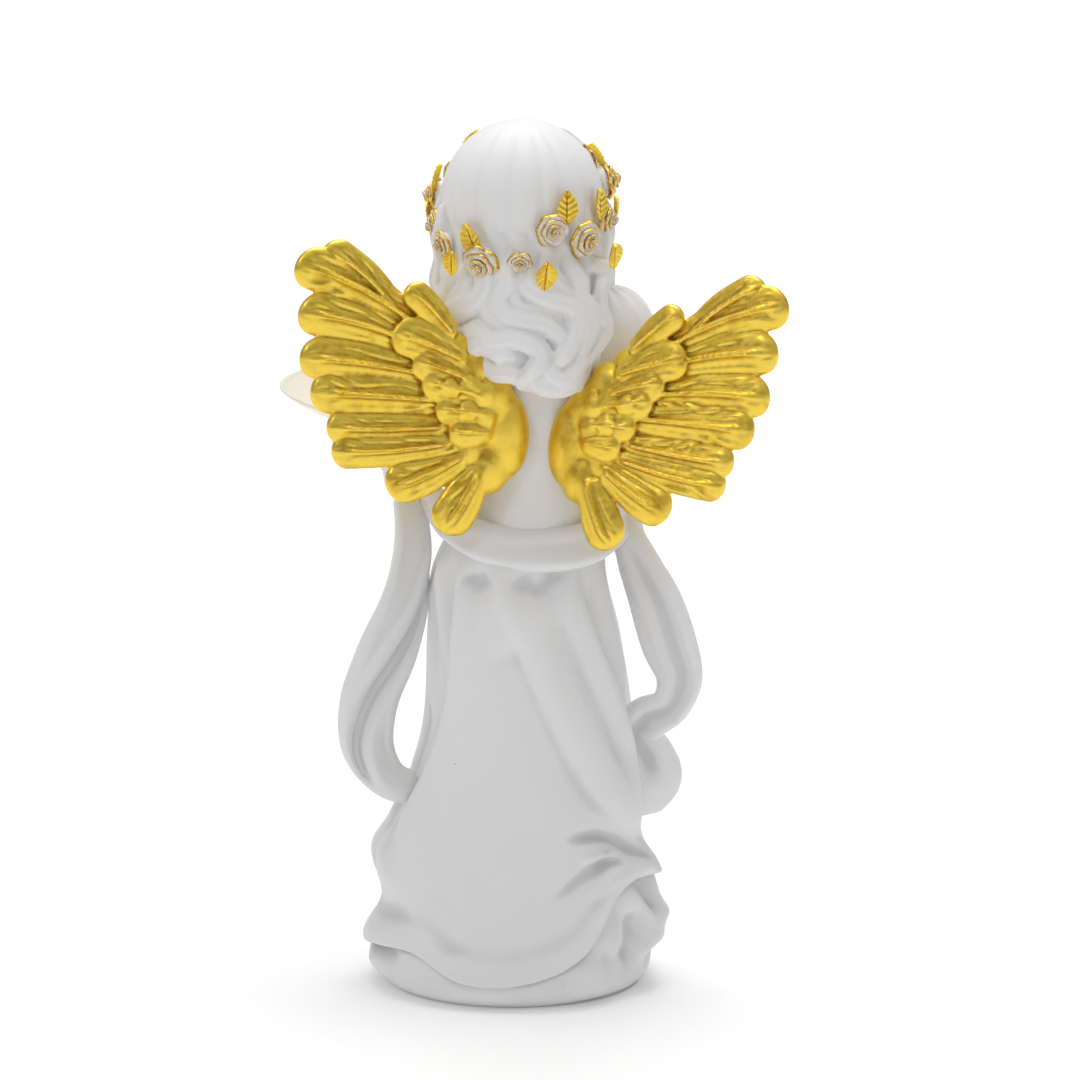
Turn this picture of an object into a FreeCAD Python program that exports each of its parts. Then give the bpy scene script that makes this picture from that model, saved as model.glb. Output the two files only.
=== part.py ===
"""Angel figurine in cast resin, about 250 mm tall, as the castings and fittings that it is glued up from.

The angel stands on a pooled robe and faces -Y. +Z is up, +X is to the angel's left, and the origin is the
centre of the felt under the base. The robe and torso are one hollow casting. The head, the arms, the wings and
the two free lengths of the stole are castings of their own, with spigots, pegs and tenons in sockets. A flower
wreath of single roses and leaves is pegged into holes in the hair, and the left hand carries an open dish.
"""
import FreeCAD, Part
import math
import os
import types

import Sketcher

Vector = FreeCAD.Vector
Placement = FreeCAD.Placement
Rotation = FreeCAD.Rotation

DIMENSIONS = [
    ("figure_height", 250.0, "overall height"),
    ("base_half_width", 43.0, "half the width of the pooled robe"),
    ("base_half_depth", 38.0, "half the depth of the pooled robe"),
    ("waist_lean", 6.5, "how far the torso stands to the angel's right of the base"),
    ("head_radius", 23.0, "radius of the hair over the skull"),
    ("head_height", 226.6, "height of the middle of the head"),
    ("shoulder_height", 188.0, "height of the shoulder joints"),
    ("shoulder_spread", 21.0, "shoulder joint to the middle of the torso"),
    ("sleeve_radius", 12.0, "radius of a puffed sleeve"),
    ("arm_radius", 5.4, "radius of the upper arm"),
    ("wrist_radius", 3.7, "radius of the wrist"),
    ("wing_reach", 65.0, "root to the furthest feather tip"),
    ("feather_half_width", 5.8, "half the width of the widest feather"),
    ("feather_thickness", 3.2, "thickness of one feather"),
    ("tenon_width", 6.0, "wing tenon, across"),
    ("tenon_height", 10.0, "wing tenon, up"),
    ("tenon_length", 11.0, "wing tenon, into the back"),
    ("dish_radius", 26.0, "outer radius of the dish"),
    ("dish_height", 9.0, "height of the dish from foot to rim"),
    ("dish_wall", 2.0, "wall of the dish"),
    ("rose_radius", 4.8, "radius of the largest rose"),
    ("rose_height", 4.6, "height of the largest rose above the hair"),
    ("leaf_length", 9.0, "length of the largest leaf"),
    ("leaf_thickness", 2.4, "height of a leaf above the hair"),
    ("peg_radius", 1.1, "peg under a rose or leaf"),
    ("peg_length", 2.4, "peg under a rose or leaf, into the hair"),
    ("spigot_radius", 5.0, "neck spigot"),
    ("spigot_length", 13.0, "neck spigot, into the torso"),
    ("arm_peg_radius", 3.2, "peg from an arm into the torso"),
    ("arm_peg_length", 14.5, "peg from an arm into the torso"),
    ("pin_radius", 0.8, "steel pin in an end of the stole"),
    ("pin_length", 9.0, "steel pin, half in the stole and half in the robe"),
    ("glue_gap", 0.15, "room for glue all round a peg"),
    ("pour_radius", 11.0, "pour hole in the underside"),
    ("plug_height", 6.0, "height of the plug in the pour hole"),
    ("felt_thickness", 1.5, "thickness of the felt"),
    ("cavity_floor", 8.0, "height of the floor of the cavity"),
]

doc = FreeCAD.newDocument("angel_figurine")
sheet = doc.addObject("Spreadsheet::Sheet", "Dimensions")
for row, (alias, value, note) in enumerate(DIMENSIONS, start=1):
    sheet.set(f"A{row}", note)
    sheet.set(f"B{row}", str(value))
    sheet.setAlias(f"B{row}", alias)
doc.recompute()

NODES = {}


class Size:
    """A length that follows the sheet: its expression, and what that comes to."""

    def __init__(self, expression, value):
        self.expression, self.value = expression, value

    @staticmethod
    def of(other):
        return other if isinstance(other, Size) else Size(str(other), float(other))

    def __add__(self, other):
        other = Size.of(other)
        return Size(f"({self.expression} + {other.expression})", self.value + other.value)

    def __sub__(self, other):
        return self + -Size.of(other)

    def __mul__(self, other):
        other = Size.of(other)
        return Size(f"{self.expression} * {other.expression}", self.value * other.value)

    def __truediv__(self, other):
        return self * (1 / other)

    def __neg__(self):
        return Size(f"-1 * {self.expression}", -self.value)

    def __float__(self):
        return self.value


def dimension(alias):
    """A cell of the sheet, as a Size."""
    return Size("Dimensions." + alias, float(sheet.get(alias)))


D = types.SimpleNamespace(**{alias: dimension(alias) for alias, _, _ in DIMENSIONS})
NONE = Size("0", 0.0)


def node(label, made):
    """Names a finished sub-part. Its label becomes the name of its file."""
    made.Label = label
    NODES[label] = made
    return made


def bind(made, **sizes):
    """Binds properties to the sheet. A double underscore in a name stands for a dot."""
    for name, size in sizes.items():
        made.setExpression(name.replace("__", "."), Size.of(size).expression)
    return made


def frame_at(point, z_axis, x_hint=Vector(1, 0, 0)):
    """A Placement at a point, with its Z along z_axis and its X as near x_hint as that allows."""
    z_axis = Vector(z_axis).normalize()
    y_axis = z_axis.cross(x_hint)
    if y_axis.Length < 1e-6:
        y_axis = z_axis.cross(Vector(0, 1, 0))
    y_axis.normalize()
    return Placement(Vector(point), Rotation(y_axis.cross(z_axis), y_axis, z_axis, "ZXY"))


def primitive(kind, name, placement=None, **sizes):
    """A Part primitive with its sizes bound to the sheet."""
    made = bind(doc.addObject("Part::" + kind, name), **sizes)
    if placement is not None:
        made.Placement = placement
    return made


def fuse(name, shapes):
    made = doc.addObject("Part::MultiFuse", name)
    made.Shapes = shapes
    doc.recompute()
    return made


def cut(name, base, tool):
    made = doc.addObject("Part::Cut", name)
    made.Base = base
    made.Tool = tool
    made.Refine = False
    doc.recompute()
    return made


def cut_each(name, base, tools):
    """Cuts a shape back by each of its neighbours in turn."""
    for tool in tools:
        base = cut(f"{name}_less_{tool.Name}", base, tool)
    return base


def loft(name, sections):
    made = doc.addObject("Part::Loft", name)
    made.Sections = sections
    made.Solid = True
    doc.recompute()
    return made


def level_loft(name, sections):
    """A loft through level ellipses. Each section is a height, half width, half depth, x and y, as shares of
    the figure's height, the base's half width and half depth, the waist's lean and the head's radius."""
    ellipses = []
    for index, (height, width, depth, across, back) in enumerate(sections):
        ellipse = primitive(
            "Ellipse",
            f"{name}_section_{index}",
            MajorRadius=D.base_half_width * width,
            MinorRadius=D.base_half_depth * depth,
            Placement__Base__x=D.waist_lean * -across,
            Placement__Base__y=D.head_radius * back,
            Placement__Base__z=D.figure_height * height,
        )
        ellipses.append(ellipse)
    doc.recompute()
    return loft(name, ellipses)


def strip_loft(name, stations):
    """A flat strip. Each station is a point of its centre line, half its width, half its thickness and the way
    it is wide."""
    points = [Vector(*station[0]) for station in stations]
    ellipses = []
    for index, (_, half_width, half_thickness, wide) in enumerate(stations):
        before, after = points[max(index - 1, 0)], points[min(index + 1, len(points) - 1)]
        ellipse = doc.addObject("Part::Ellipse", f"{name}_section_{index}")
        ellipse.MajorRadius = half_width
        ellipse.MinorRadius = half_thickness
        ellipse.Placement = frame_at(points[index], after - before, Vector(*wide))
        ellipses.append(ellipse)
    doc.recompute()
    return loft(name, ellipses)


def limb(name, start, end, start_radius, end_radius):
    """A tapered limb from one joint to the next."""
    start, end = Vector(start), Vector(end)
    made = primitive("Cone", name, frame_at(start, end - start), Radius1=start_radius, Radius2=end_radius)
    made.Height = (end - start).Length
    return made


def ball(name, centre, radius):
    return primitive("Sphere", name, Placement(Vector(centre), Rotation()), Radius=radius)


def ellipsoid(name, placement, radius_x, radius_y, radius_z):
    made = doc.addObject("Part::Ellipsoid", name)
    made.Angle1, made.Angle2, made.Angle3 = -90, 90, 360
    bind(made, Radius1=radius_z, Radius2=radius_x, Radius3=radius_y)
    made.Placement = placement
    return made


# ---------------------------------------------------------------- sketches


def plane_sketch(body, role, name):
    sketch = body.newObject("Sketcher::SketchObject", name)
    plane = next(item for item in body.Origin.OriginFeatures if item.Role == role)
    sketch.AttachmentSupport = [(plane, "")]
    sketch.MapMode = "FlatFace"
    return sketch


def constrain(sketch, size, kind, *where):
    """A constraint whose value follows the sheet."""
    index = sketch.addConstraint(Sketcher.Constraint(kind, *where, float(size)))
    sketch.setExpression(f"Constraints[{index}]", size.expression)


def pin_point(sketch, edge, end, across, up):
    """Fixes a point of a sketch at two sizes, measured from the sketch's origin."""
    for kind, axis, size in (("DistanceX", -2, Size.of(across)), ("DistanceY", -1, Size.of(up))):
        if abs(size.value) < 1e-9:
            sketch.addConstraint(Sketcher.Constraint("PointOnObject", edge, end, axis))
        else:
            constrain(sketch, size, kind, -1, 1, edge, end)


def polygon(sketch, corners):
    """A closed outline through corners, each a pair of sizes."""
    places = [Vector(float(across), float(up), 0) for across, up in corners]
    count = len(places)
    for here, there in zip(places, places[1:] + places[:1]):
        sketch.addGeometry(Part.LineSegment(here, there))
    for index in range(count):
        sketch.addConstraint(Sketcher.Constraint("Coincident", index, 2, (index + 1) % count, 1))
    for index, corner in enumerate(corners):
        pin_point(sketch, index, 1, *corner)


def slot(sketch, length, radius):
    """A slot along +X whose first centre is the sketch's origin."""
    near, far, up = Vector(), Vector(float(length), 0, 0), Vector(0, 0, 1)
    side = Vector(0, float(radius), 0)
    quarter = math.pi / 2
    sketch.addGeometry(Part.ArcOfCircle(Part.Circle(near, up, float(radius)), quarter, 3 * quarter))
    sketch.addGeometry(Part.ArcOfCircle(Part.Circle(far, up, float(radius)), -quarter, quarter))
    sketch.addGeometry(Part.LineSegment(near - side, far - side))
    sketch.addGeometry(Part.LineSegment(near + side, far + side))
    for joined in ((0, 2, 2, 1), (2, 2, 1, 1), (1, 2, 3, 2), (3, 1, 0, 1)):
        sketch.addConstraint(Sketcher.Constraint("Tangent", *joined))
    sketch.addConstraint(Sketcher.Constraint("Coincident", 0, 3, -1, 1))
    sketch.addConstraint(Sketcher.Constraint("PointOnObject", 1, 3, -1))
    constrain(sketch, radius, "Radius", 0)
    constrain(sketch, length, "DistanceX", 0, 3, 1, 3)


def turned_body(name, corners):
    """A body made by turning an outline about its own Z axis."""
    body = doc.addObject("PartDesign::Body", name)
    sketch = plane_sketch(body, "XZ_Plane", name + "_outline")
    polygon(sketch, corners)
    turn = body.newObject("PartDesign::Revolution", name + "_turn")
    turn.Profile = sketch
    turn.ReferenceAxis = (sketch, ["V_Axis"])
    turn.Angle = 360
    doc.recompute()
    return body


def pad_on(body, sketch, thickness):
    pad = body.newObject("PartDesign::Pad", sketch.Name + "_pad")
    pad.Profile = sketch
    pad.Refine = False
    bind(pad, Length=thickness)
    doc.recompute()
    return pad


# ---------------------------------------------------------------- robe and torso

POOL_SECTIONS = [
    (0.002, 0.885, 0.900, 0.0, 0.0),
    (0.016, 0.945, 0.955, 0.0, 0.0),
    (0.045, 0.965, 0.970, 0.0, 0.0),
    (0.080, 0.940, 0.940, 0.0, 0.0),
]
ROBE_SECTIONS = [
    (0.052, 0.985, 0.985, 0.0, 0.0),
    (0.075, 1.000, 1.000, 0.0, 0.0),
    (0.136, 0.970, 0.974, 0.1, 0.0),
    (0.232, 0.830, 0.842, 0.2, 0.0),
    (0.340, 0.690, 0.737, 0.45, 0.0),
    (0.440, 0.600, 0.632, 0.5, 0.0),
    (0.520, 0.525, 0.513, 0.75, 0.0),
    (0.552, 0.450, 0.421, 0.9, 0.0),
    (0.592, 0.407, 0.355, 1.0, 0.0),
    (0.660, 0.440, 0.355, 1.07, 0.0),
    (0.716, 0.480, 0.342, 1.0, 0.0),
    (0.760, 0.380, 0.276, 0.9, -0.04),
    (0.788, 0.190, 0.205, 0.8, -0.08),
    (0.806, 0.170, 0.190, 0.76, -0.1),
]
CAVITY_SECTIONS = [
    (0.032, 0.70, 0.70, 0.0, 0.0),
    (0.136, 0.80, 0.80, 0.1, 0.0),
    (0.250, 0.64, 0.65, 0.25, 0.0),
    (0.360, 0.50, 0.52, 0.45, 0.0),
    (0.470, 0.36, 0.38, 0.6, 0.0),
]
# The stole where it lies across the back of the waist, from elbow to elbow.
SWAG = [
    ((25, 2, 147), 5.0, 2.2, (0, 0.1, 1)),
    ((17, 11, 139), 7.0, 3.0, (0, 0.3, 1)),
    ((6, 17, 132), 8.0, 3.2, (0, 0.3, 1)),
    ((-7, 19, 129.5), 8.5, 3.4, (0, 0.3, 1)),
    ((-20, 16, 131), 8.0, 3.2, (0, 0.3, 1)),
    ((-29, 8, 137), 7.0, 3.0, (0, 0.2, 1)),
    ((-34, 0, 143), 5.0, 2.2, (0, 0.1, 1)),
]
FELT_SHARE = 0.84

robe_solid = fuse(
    "robe_solid",
    [
        level_loft("robe_pool", POOL_SECTIONS),
        level_loft("robe_outer", ROBE_SECTIONS),
        strip_loft("swag", SWAG),
    ],
)
cavity = level_loft("robe_cavity", CAVITY_SECTIONS)

TORSO = Vector(-float(D.waist_lean), 0, float(D.shoulder_height))
NECK = Vector(-5, -2, float(D.figure_height) * 0.806)


def side_shoulder(side):
    """The shoulder joint of one side. Side is +1 for the angel's left."""
    return TORSO + Vector(side * float(D.shoulder_spread), 0, 0)


def neck_tool(name, extra):
    """The neck spigot, or its socket when extra is the glue gap."""
    low = NECK - Vector(0, 0, float(D.spigot_length + extra))
    return primitive(
        "Cylinder",
        name,
        Placement(low, Rotation()),
        Radius=D.spigot_radius + extra,
        Height=D.spigot_length + extra + 4,
    )


def arm_peg_tool(name, side, extra):
    """The peg from a sleeve into the torso, or its socket when extra is the glue gap."""
    return primitive(
        "Cylinder",
        name,
        frame_at(side_shoulder(side) + Vector(side * 2.3, 0.4, -5), Vector(-side, 0, 0), Vector(0, 1, 1)),
        Radius=D.arm_peg_radius + extra,
        Height=D.arm_peg_length + extra,
    )


# A wing lies in a plane of its own. Its X runs out to the angel's right, Y up and Z back.
WINGS = {
    "left": {"side": 1, "root": Vector(1.5, 14.5, 166), "roll": 0.0, "sweep": 18.0},
    "right": {"side": -1, "root": Vector(-15.5, 14.5, 164), "roll": -9.0, "sweep": 28.0},
}


def wing_frame(word):
    """Where a wing stands: its root, rolled about the root and swept back."""
    side, root, roll, sweep = (WINGS[word][key] for key in ("side", "root", "roll", "sweep"))
    from_behind = Rotation(Vector(-1, 0, 0), Vector(0, 0, 1), Vector(0, 1, 0), "ZXY")
    rolled = Rotation(Vector(0, 0, 1), -side * roll)
    swept = Rotation(Vector(0, 1, 0), side * sweep)
    return Placement(root, from_behind.multiply(rolled).multiply(swept))


def tenon_tool(name, word, extra):
    """A wing's tenon, or its mortise in the back when extra is the glue gap."""
    side, sweep = WINGS[word]["side"], WINGS[word]["sweep"]
    tool = primitive(
        "Box",
        name,
        Length=D.tenon_width + extra * 2,
        Width=D.tenon_height + extra * 2,
        Height=D.tenon_length + extra,
    )
    corner = Vector(float(D.tenon_width + extra * 2) / 2, float(D.tenon_height + extra * 2) / 2, 0)
    corner.z = float(D.tenon_length + extra)
    straight = Placement(Vector(-side * 3, -4, 0), Rotation(Vector(0, 1, 0), -side * sweep))
    tool.Placement = wing_frame(word).multiply(straight).multiply(Placement(-corner, Rotation()))
    return tool


# Centre line of each free length of the stole.
STOLES = {
    "left": [
        ((31, 1, 146), 6.0, 3.2, (0.5, 0.9, 0.0)),
        ((29.5, 4, 134), 6.5, 3.2, (0.6, 0.8, 0.0)),
        ((30, 6, 124), 7.0, 3.2, (0.7, 0.7, 0.0)),
        ((33, 7, 112), 8.0, 3.2, (0.8, 0.6, 0.0)),
        ((38, 8, 98), 9.2, 3.2, (0.9, 0.4, -0.1)),
        ((42, 8, 84), 9.2, 3.0, (0.9, 0.3, 0.0)),
        ((42.5, 7, 71), 8.0, 3.0, (0.9, 0.2, -0.3)),
        ((37, 6, 61), 6.0, 3.0, (0.6, 0.2, -0.75)),
        ((28, 5, 57), 4.8, 2.8, (0.3, 0.2, -0.9)),
    ],
    "right": [
        ((-33, 1, 145), 6.0, 3.2, (0.5, -0.9, 0.0)),
        ((-32, 3, 133), 7.5, 3.2, (0.6, -0.8, 0.0)),
        ((-35, 5, 124), 8.6, 3.4, (0.75, -0.65, 0.0)),
        ((-40, 7, 113), 9.4, 3.3, (0.85, -0.5, 0.0)),
        ((-44, 8, 101), 9.0, 3.2, (0.92, -0.35, 0.0)),
        ((-47, 8, 91), 7.0, 3.2, (0.95, -0.15, 0.15)),
        ((-44.5, 7, 82.5), 5.8, 3.0, (0.75, -0.1, 0.6)),
        ((-38, 4, 78), 5.2, 3.0, (0.5, 0.0, 0.85)),
        ((-36, 2, 73), 5.2, 3.0, (0.95, 0.1, 0.1)),
        ((-40.5, 2, 67), 5.6, 3.0, (0.9, 0.2, -0.4)),
        ((-41, 1, 58), 6.0, 3.0, (0.95, 0.2, 0.1)),
        ((-33, 0, 49), 4.5, 2.8, (0.7, 0.3, 0.5)),
    ],
}


def pin_tool(name, word, extra):
    """The steel pin at the foot of a stole length, or its hole when extra is the glue gap. It follows the
    centre line in, half its length on each side of the robe's surface."""
    inner, tip = (Vector(*station[0]) for station in STOLES[word][-2:])
    inward = (tip - inner).normalize()
    ray = Part.makeLine(inner, tip + inward * 10)
    surface = ray.common(robe_solid.Shape).Vertexes[0].Point
    return primitive(
        "Cylinder",
        name,
        frame_at(surface - inward * float(D.pin_length) / 2, inward),
        Radius=D.pin_radius + extra,
        Height=D.pin_length + extra,
    )


felt_slabs = []
for name, extra in (("felt_shape", NONE), ("felt_recess", D.glue_gap)):
    outline = primitive(
        "Ellipse",
        name + "_outline",
        MajorRadius=D.base_half_width * FELT_SHARE + extra,
        MinorRadius=D.base_half_depth * FELT_SHARE + extra,
    )
    slab = bind(doc.addObject("Part::Extrusion", name), LengthFwd=D.felt_thickness)
    slab.Base = outline
    slab.DirMode = "Custom"
    slab.Dir = Vector(0, 0, 1)
    slab.Solid = True
    felt_slabs.append(slab)
node("felt_pad", felt_slabs[0])

pour_hole = primitive("Cylinder", "pour_hole", Radius=D.pour_radius + D.glue_gap, Height=D.cavity_floor + 2)
robe_cuts = [cavity, felt_slabs[1], pour_hole, neck_tool("neck_socket", D.glue_gap)]
for word, wing_at in WINGS.items():
    robe_cuts.append(arm_peg_tool(f"{word}_arm_socket", wing_at["side"], D.glue_gap))
    robe_cuts.append(tenon_tool(f"{word}_wing_mortise", word, D.glue_gap))
    robe_cuts.append(pin_tool(f"{word}_stole_hole", word, D.glue_gap))
doc.recompute()
robe = node("robe_casting", cut("robe", robe_solid, fuse("robe_cuts", robe_cuts)))

plug_top = D.felt_thickness + D.plug_height
plug = turned_body(
    "plug",
    [
        (0, D.felt_thickness),
        (D.pour_radius, D.felt_thickness),
        (D.pour_radius, plug_top - 1),
        (D.pour_radius - 1, plug_top),
        (0, plug_top),
    ],
)
node("base_plug", plug)

# ---------------------------------------------------------------- head

HEAD = Vector(-2, -2, float(D.head_height))
HAIR_SECTIONS = [
    (0.900, 0.450, 0.480, 0.30, 0.00),
    (0.868, 0.515, 0.545, 0.35, 0.00),
    (0.828, 0.525, 0.480, 0.42, 0.09),
    (0.788, 0.495, 0.360, 0.50, 0.30),
    (0.752, 0.450, 0.270, 0.65, 0.50),
    (0.720, 0.340, 0.200, 1.00, 0.62),
    (0.690, 0.110, 0.090, 1.54, 0.66),
]

skull = ellipsoid(
    "skull", Placement(HEAD, Rotation()), D.head_radius, D.head_radius * 1.05, D.head_radius * 1.015
)
face = ellipsoid(
    "face",
    Placement(HEAD + Vector(-1.5, -9, -11.5), Rotation()),
    D.head_radius * 0.74,
    D.head_radius * 0.70,
    D.head_radius * 0.80,
)
neck = limb("neck", NECK + Vector(0, 0, -3), NECK + Vector(1, -1, 10), 6, 6.6)
doc.recompute()
head_solid = fuse("head_solid", [skull, face, neck, level_loft("hair", HAIR_SECTIONS)])

# ---------------------------------------------------------------- wreath

# Each rose: bearing round the head from the back towards the angel's right and height above the middle of the
# head, both in degrees, and its size as a share of the largest.
ROSES = [
    (-25, -31, 1.00),
    (-1, -30, 0.62),
    (19, -14, 0.86),
    (43, -20, 0.98),
    (73, -10, 0.86),
    (99, 12, 0.96),
    (123, 26, 0.74),
    (150, 30, 0.92),
    (180, 33, 1.00),
    (-150, 27, 0.90),
    (-125, 16, 0.74),
    (-103, 2, 0.94),
    (-82, -14, 0.84),
    (-63, -23, 0.70),
]
# A leaf's turn is the way its tip points, from straight up towards the angel's right, seen from outside.
LEAVES = [
    (-38, -14, 0.95, -15),
    (-43, -33, 0.80, 200),
    (28, 6, 0.95, 0),
    (12, -37, 0.90, 180),
    (59, -30, 0.85, 160),
    (60, 6, 0.90, 0),
    (86, -12, 0.75, 175),
    (106, 35, 0.85, 20),
    (138, 8, 0.85, 180),
    (160, 50, 0.85, 10),
    (-168, 14, 0.80, 180),
    (-138, 45, 0.85, -10),
    (-99, -17, 0.80, 180),
    (-95, 20, 0.85, 0),
]


def seat_on_hair(bearing, height):
    """The point of the hair that a flower sits on, and the way out from there."""
    bearing, height = math.radians(bearing), math.radians(height)
    level = Vector(-math.sin(bearing), math.cos(bearing), 0) * math.cos(height)
    away = level + Vector(0, 0, math.sin(height))
    ray = Part.makeLine(HEAD, HEAD + away * float(D.head_radius * 3)).common(head_solid.Shape)
    skin = max((vertex.Point for vertex in ray.Vertexes), key=lambda point: (point - HEAD).Length)
    outside = skin + away * 3
    seat = head_solid.Shape.distToShape(Part.Vertex(outside))[1][0][0]
    return seat, (outside - seat).normalize()


def flower_frame(bearing, height, turn):
    """The place of a flower, with its Y turned from straight up."""
    seat, away = seat_on_hair(bearing, height)
    upright = frame_at(seat, away, Vector(0, 0, 1).cross(away))
    return upright.multiply(Placement(Vector(), Rotation(Vector(0, 0, 1), turn)))


def peg_hole(name, place):
    deep = D.peg_length + D.glue_gap
    hole = primitive("Cylinder", name, Radius=D.peg_radius + D.glue_gap, Height=deep + 1)
    hole.Placement = place.multiply(Placement(Vector(0, 0, -float(deep)), Rotation()))
    return hole


def rose_body(name, share):
    """A rose on a thick calyx: peg, calyx, spread of the outer petals, bud."""
    radius = D.rose_radius * share
    height = D.rose_height * (0.5 + 0.5 * share)
    return turned_body(
        name,
        [
            (0, -D.peg_length),
            (D.peg_radius, -D.peg_length),
            (D.peg_radius, FLOWER_SEAT),
            (radius * 0.70, FLOWER_SEAT),
            (radius * 0.84, height * 0.45),
            (radius, height * 0.62),
            (radius * 0.92, height * 0.86),
            (radius * 0.55, height * 0.90),
            (radius * 0.40, height),
            (0, height),
        ],
    )


def leaf_body(name, share):
    """A pointed leaf, two arcs from stem to tip, on a short peg."""
    body = doc.addObject("PartDesign::Body", name)
    length = D.leaf_length * share
    ends = ((0, length * -0.35), (0, length * 0.65))
    low, high = (Vector(0, float(end[1]), 0) for end in ends)
    blade = plane_sketch(body, "XY_Plane", name + "_blade")
    bulge = Vector(float(length) * 0.30, (low.y + high.y) / 2, 0)
    blade.addGeometry(Part.Arc(low, bulge, high))
    blade.addGeometry(Part.Arc(high, Vector(-bulge.x, bulge.y, 0), low))
    for index in (0, 1):
        for corner in (1, 2):
            at_foot = blade.getPoint(index, corner).y < 0
            pin_point(blade, index, corner, *ends[0 if at_foot else 1])
        constrain(blade, length * LEAF_ARC, "Radius", index)
    blade.AttachmentOffset = Placement(Vector(0, 0, FLOWER_SEAT), Rotation())
    pad_on(body, blade, D.leaf_thickness - FLOWER_SEAT)
    peg = plane_sketch(body, "XY_Plane", name + "_peg")
    peg.addGeometry(Part.Circle(Vector(), Vector(0, 0, 1), float(D.peg_radius)))
    peg.addConstraint(Sketcher.Constraint("Coincident", 0, 3, -1, 1))
    constrain(peg, D.peg_radius, "Radius", 0)
    peg.setExpression("AttachmentOffset.Base.z", (-D.peg_length).expression)
    pad_on(body, peg, D.peg_length + 1)
    return body


FLOWER_SEAT = 0.35
LEAF_ARC = (0.30**2 + 0.50**2) / (2 * 0.30)

peg_holes = []
for number, (bearing, height, share) in enumerate(ROSES, start=1):
    rose = rose_body(f"rose_{number:02d}", share)
    rose.Placement = flower_frame(bearing, height, 0)
    peg_holes.append(peg_hole(f"rose_{number:02d}_hole", rose.Placement))
    node(f"wreath_rose_{number:02d}", rose)
for number, (bearing, height, share, turn) in enumerate(LEAVES, start=1):
    leaf = leaf_body(f"leaf_{number:02d}", share)
    leaf.Placement = flower_frame(bearing, height, turn)
    peg_holes.append(peg_hole(f"leaf_{number:02d}_hole", leaf.Placement))
    node(f"wreath_leaf_{number:02d}", leaf)

seated_head = cut("seated_head", head_solid, robe_solid)
spigot_head = fuse("spigot_head", [seated_head, neck_tool("neck_spigot", NONE)])
node("head_casting", cut("head", spigot_head, fuse("peg_holes", peg_holes)))

# ---------------------------------------------------------------- dish

DISH_CENTRE = Vector(43, -38, 160.5)
DISH_AXIS = Vector(-0.09, 0.17, 0.98)

radius, height, wall = D.dish_radius, D.dish_height, D.dish_wall
dish = turned_body(
    "dish",
    [
        (0, 0.8),
        (radius * 0.28, 0.8),
        (radius * 0.30, 0),
        (radius * 0.34, 0),
        (radius * 0.36, 1.4),
        (radius * 0.66, height * 0.34),
        (radius * 0.90, height * 0.70),
        (radius, height * 0.92),
        (radius, height),
        (radius - wall, height),
        (radius * 0.84, height * 0.70 + 0.8),
        (radius * 0.62, height * 0.34 + wall * 0.8),
        (radius * 0.30, wall + 1.0),
        (0, wall + 0.8),
    ],
)
dish.Placement = frame_at(DISH_CENTRE, DISH_AXIS)
node("offering_dish", dish)

# ---------------------------------------------------------------- arms


def arm(word, side, elbow, wrist, palm, palm_radii, others):
    """A puffed sleeve, two limbs and a hand, cut back from what they touch, with a peg into the torso."""
    shoulder = side_shoulder(side)
    pieces = [
        ball(f"{word}_sleeve", shoulder, D.sleeve_radius),
        limb(f"{word}_upper_arm", shoulder, elbow, D.arm_radius * 1.2, D.arm_radius),
        ball(f"{word}_elbow", elbow, D.arm_radius),
        limb(f"{word}_forearm", elbow, wrist, D.arm_radius, D.wrist_radius),
        ball(f"{word}_wrist", wrist, D.wrist_radius),
        ellipsoid(f"{word}_hand", palm, *palm_radii),
        arm_peg_tool(f"{word}_arm_peg", side, NONE),
    ]
    return node(f"{word}_arm_casting", cut_each(f"{word}_arm", fuse(f"{word}_arm", pieces), others + [robe]))


left_arm = arm(
    "left",
    1,
    Vector(30, -3, 147),
    Vector(38, -27, 152),
    Placement(Vector(41.5, -35, 156.8), Rotation(Vector(1, 0, 0), -10)),
    (6.5, 9.5, 3.6),
    [dish],
)
right_arm = arm(
    "right",
    -1,
    Vector(-35, -4, 144),
    Vector(-20, -23, 160),
    Placement(Vector(-13.5, -23.5, 166), Rotation(Vector(0, 1, 0), -38)),
    (8.5, 3.6, 5.6),
    [head_solid],
)

# ---------------------------------------------------------------- stole

for word, sleeve_arm in (("left", left_arm), ("right", right_arm)):
    length = strip_loft(f"{word}_stole_strip", STOLES[word])
    others = [robe_solid, sleeve_arm, pin_tool(f"{word}_stole_end_hole", word, NONE)]
    node(f"{word}_stole_casting", cut_each(f"{word}_stole", length, others))
pins = doc.addObject("Part::Compound", "pins")
pins.Links = [pin_tool(f"{word}_stole_pin", word, NONE) for word in STOLES]
node("stole_pins", pins)

# ---------------------------------------------------------------- wings

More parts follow.
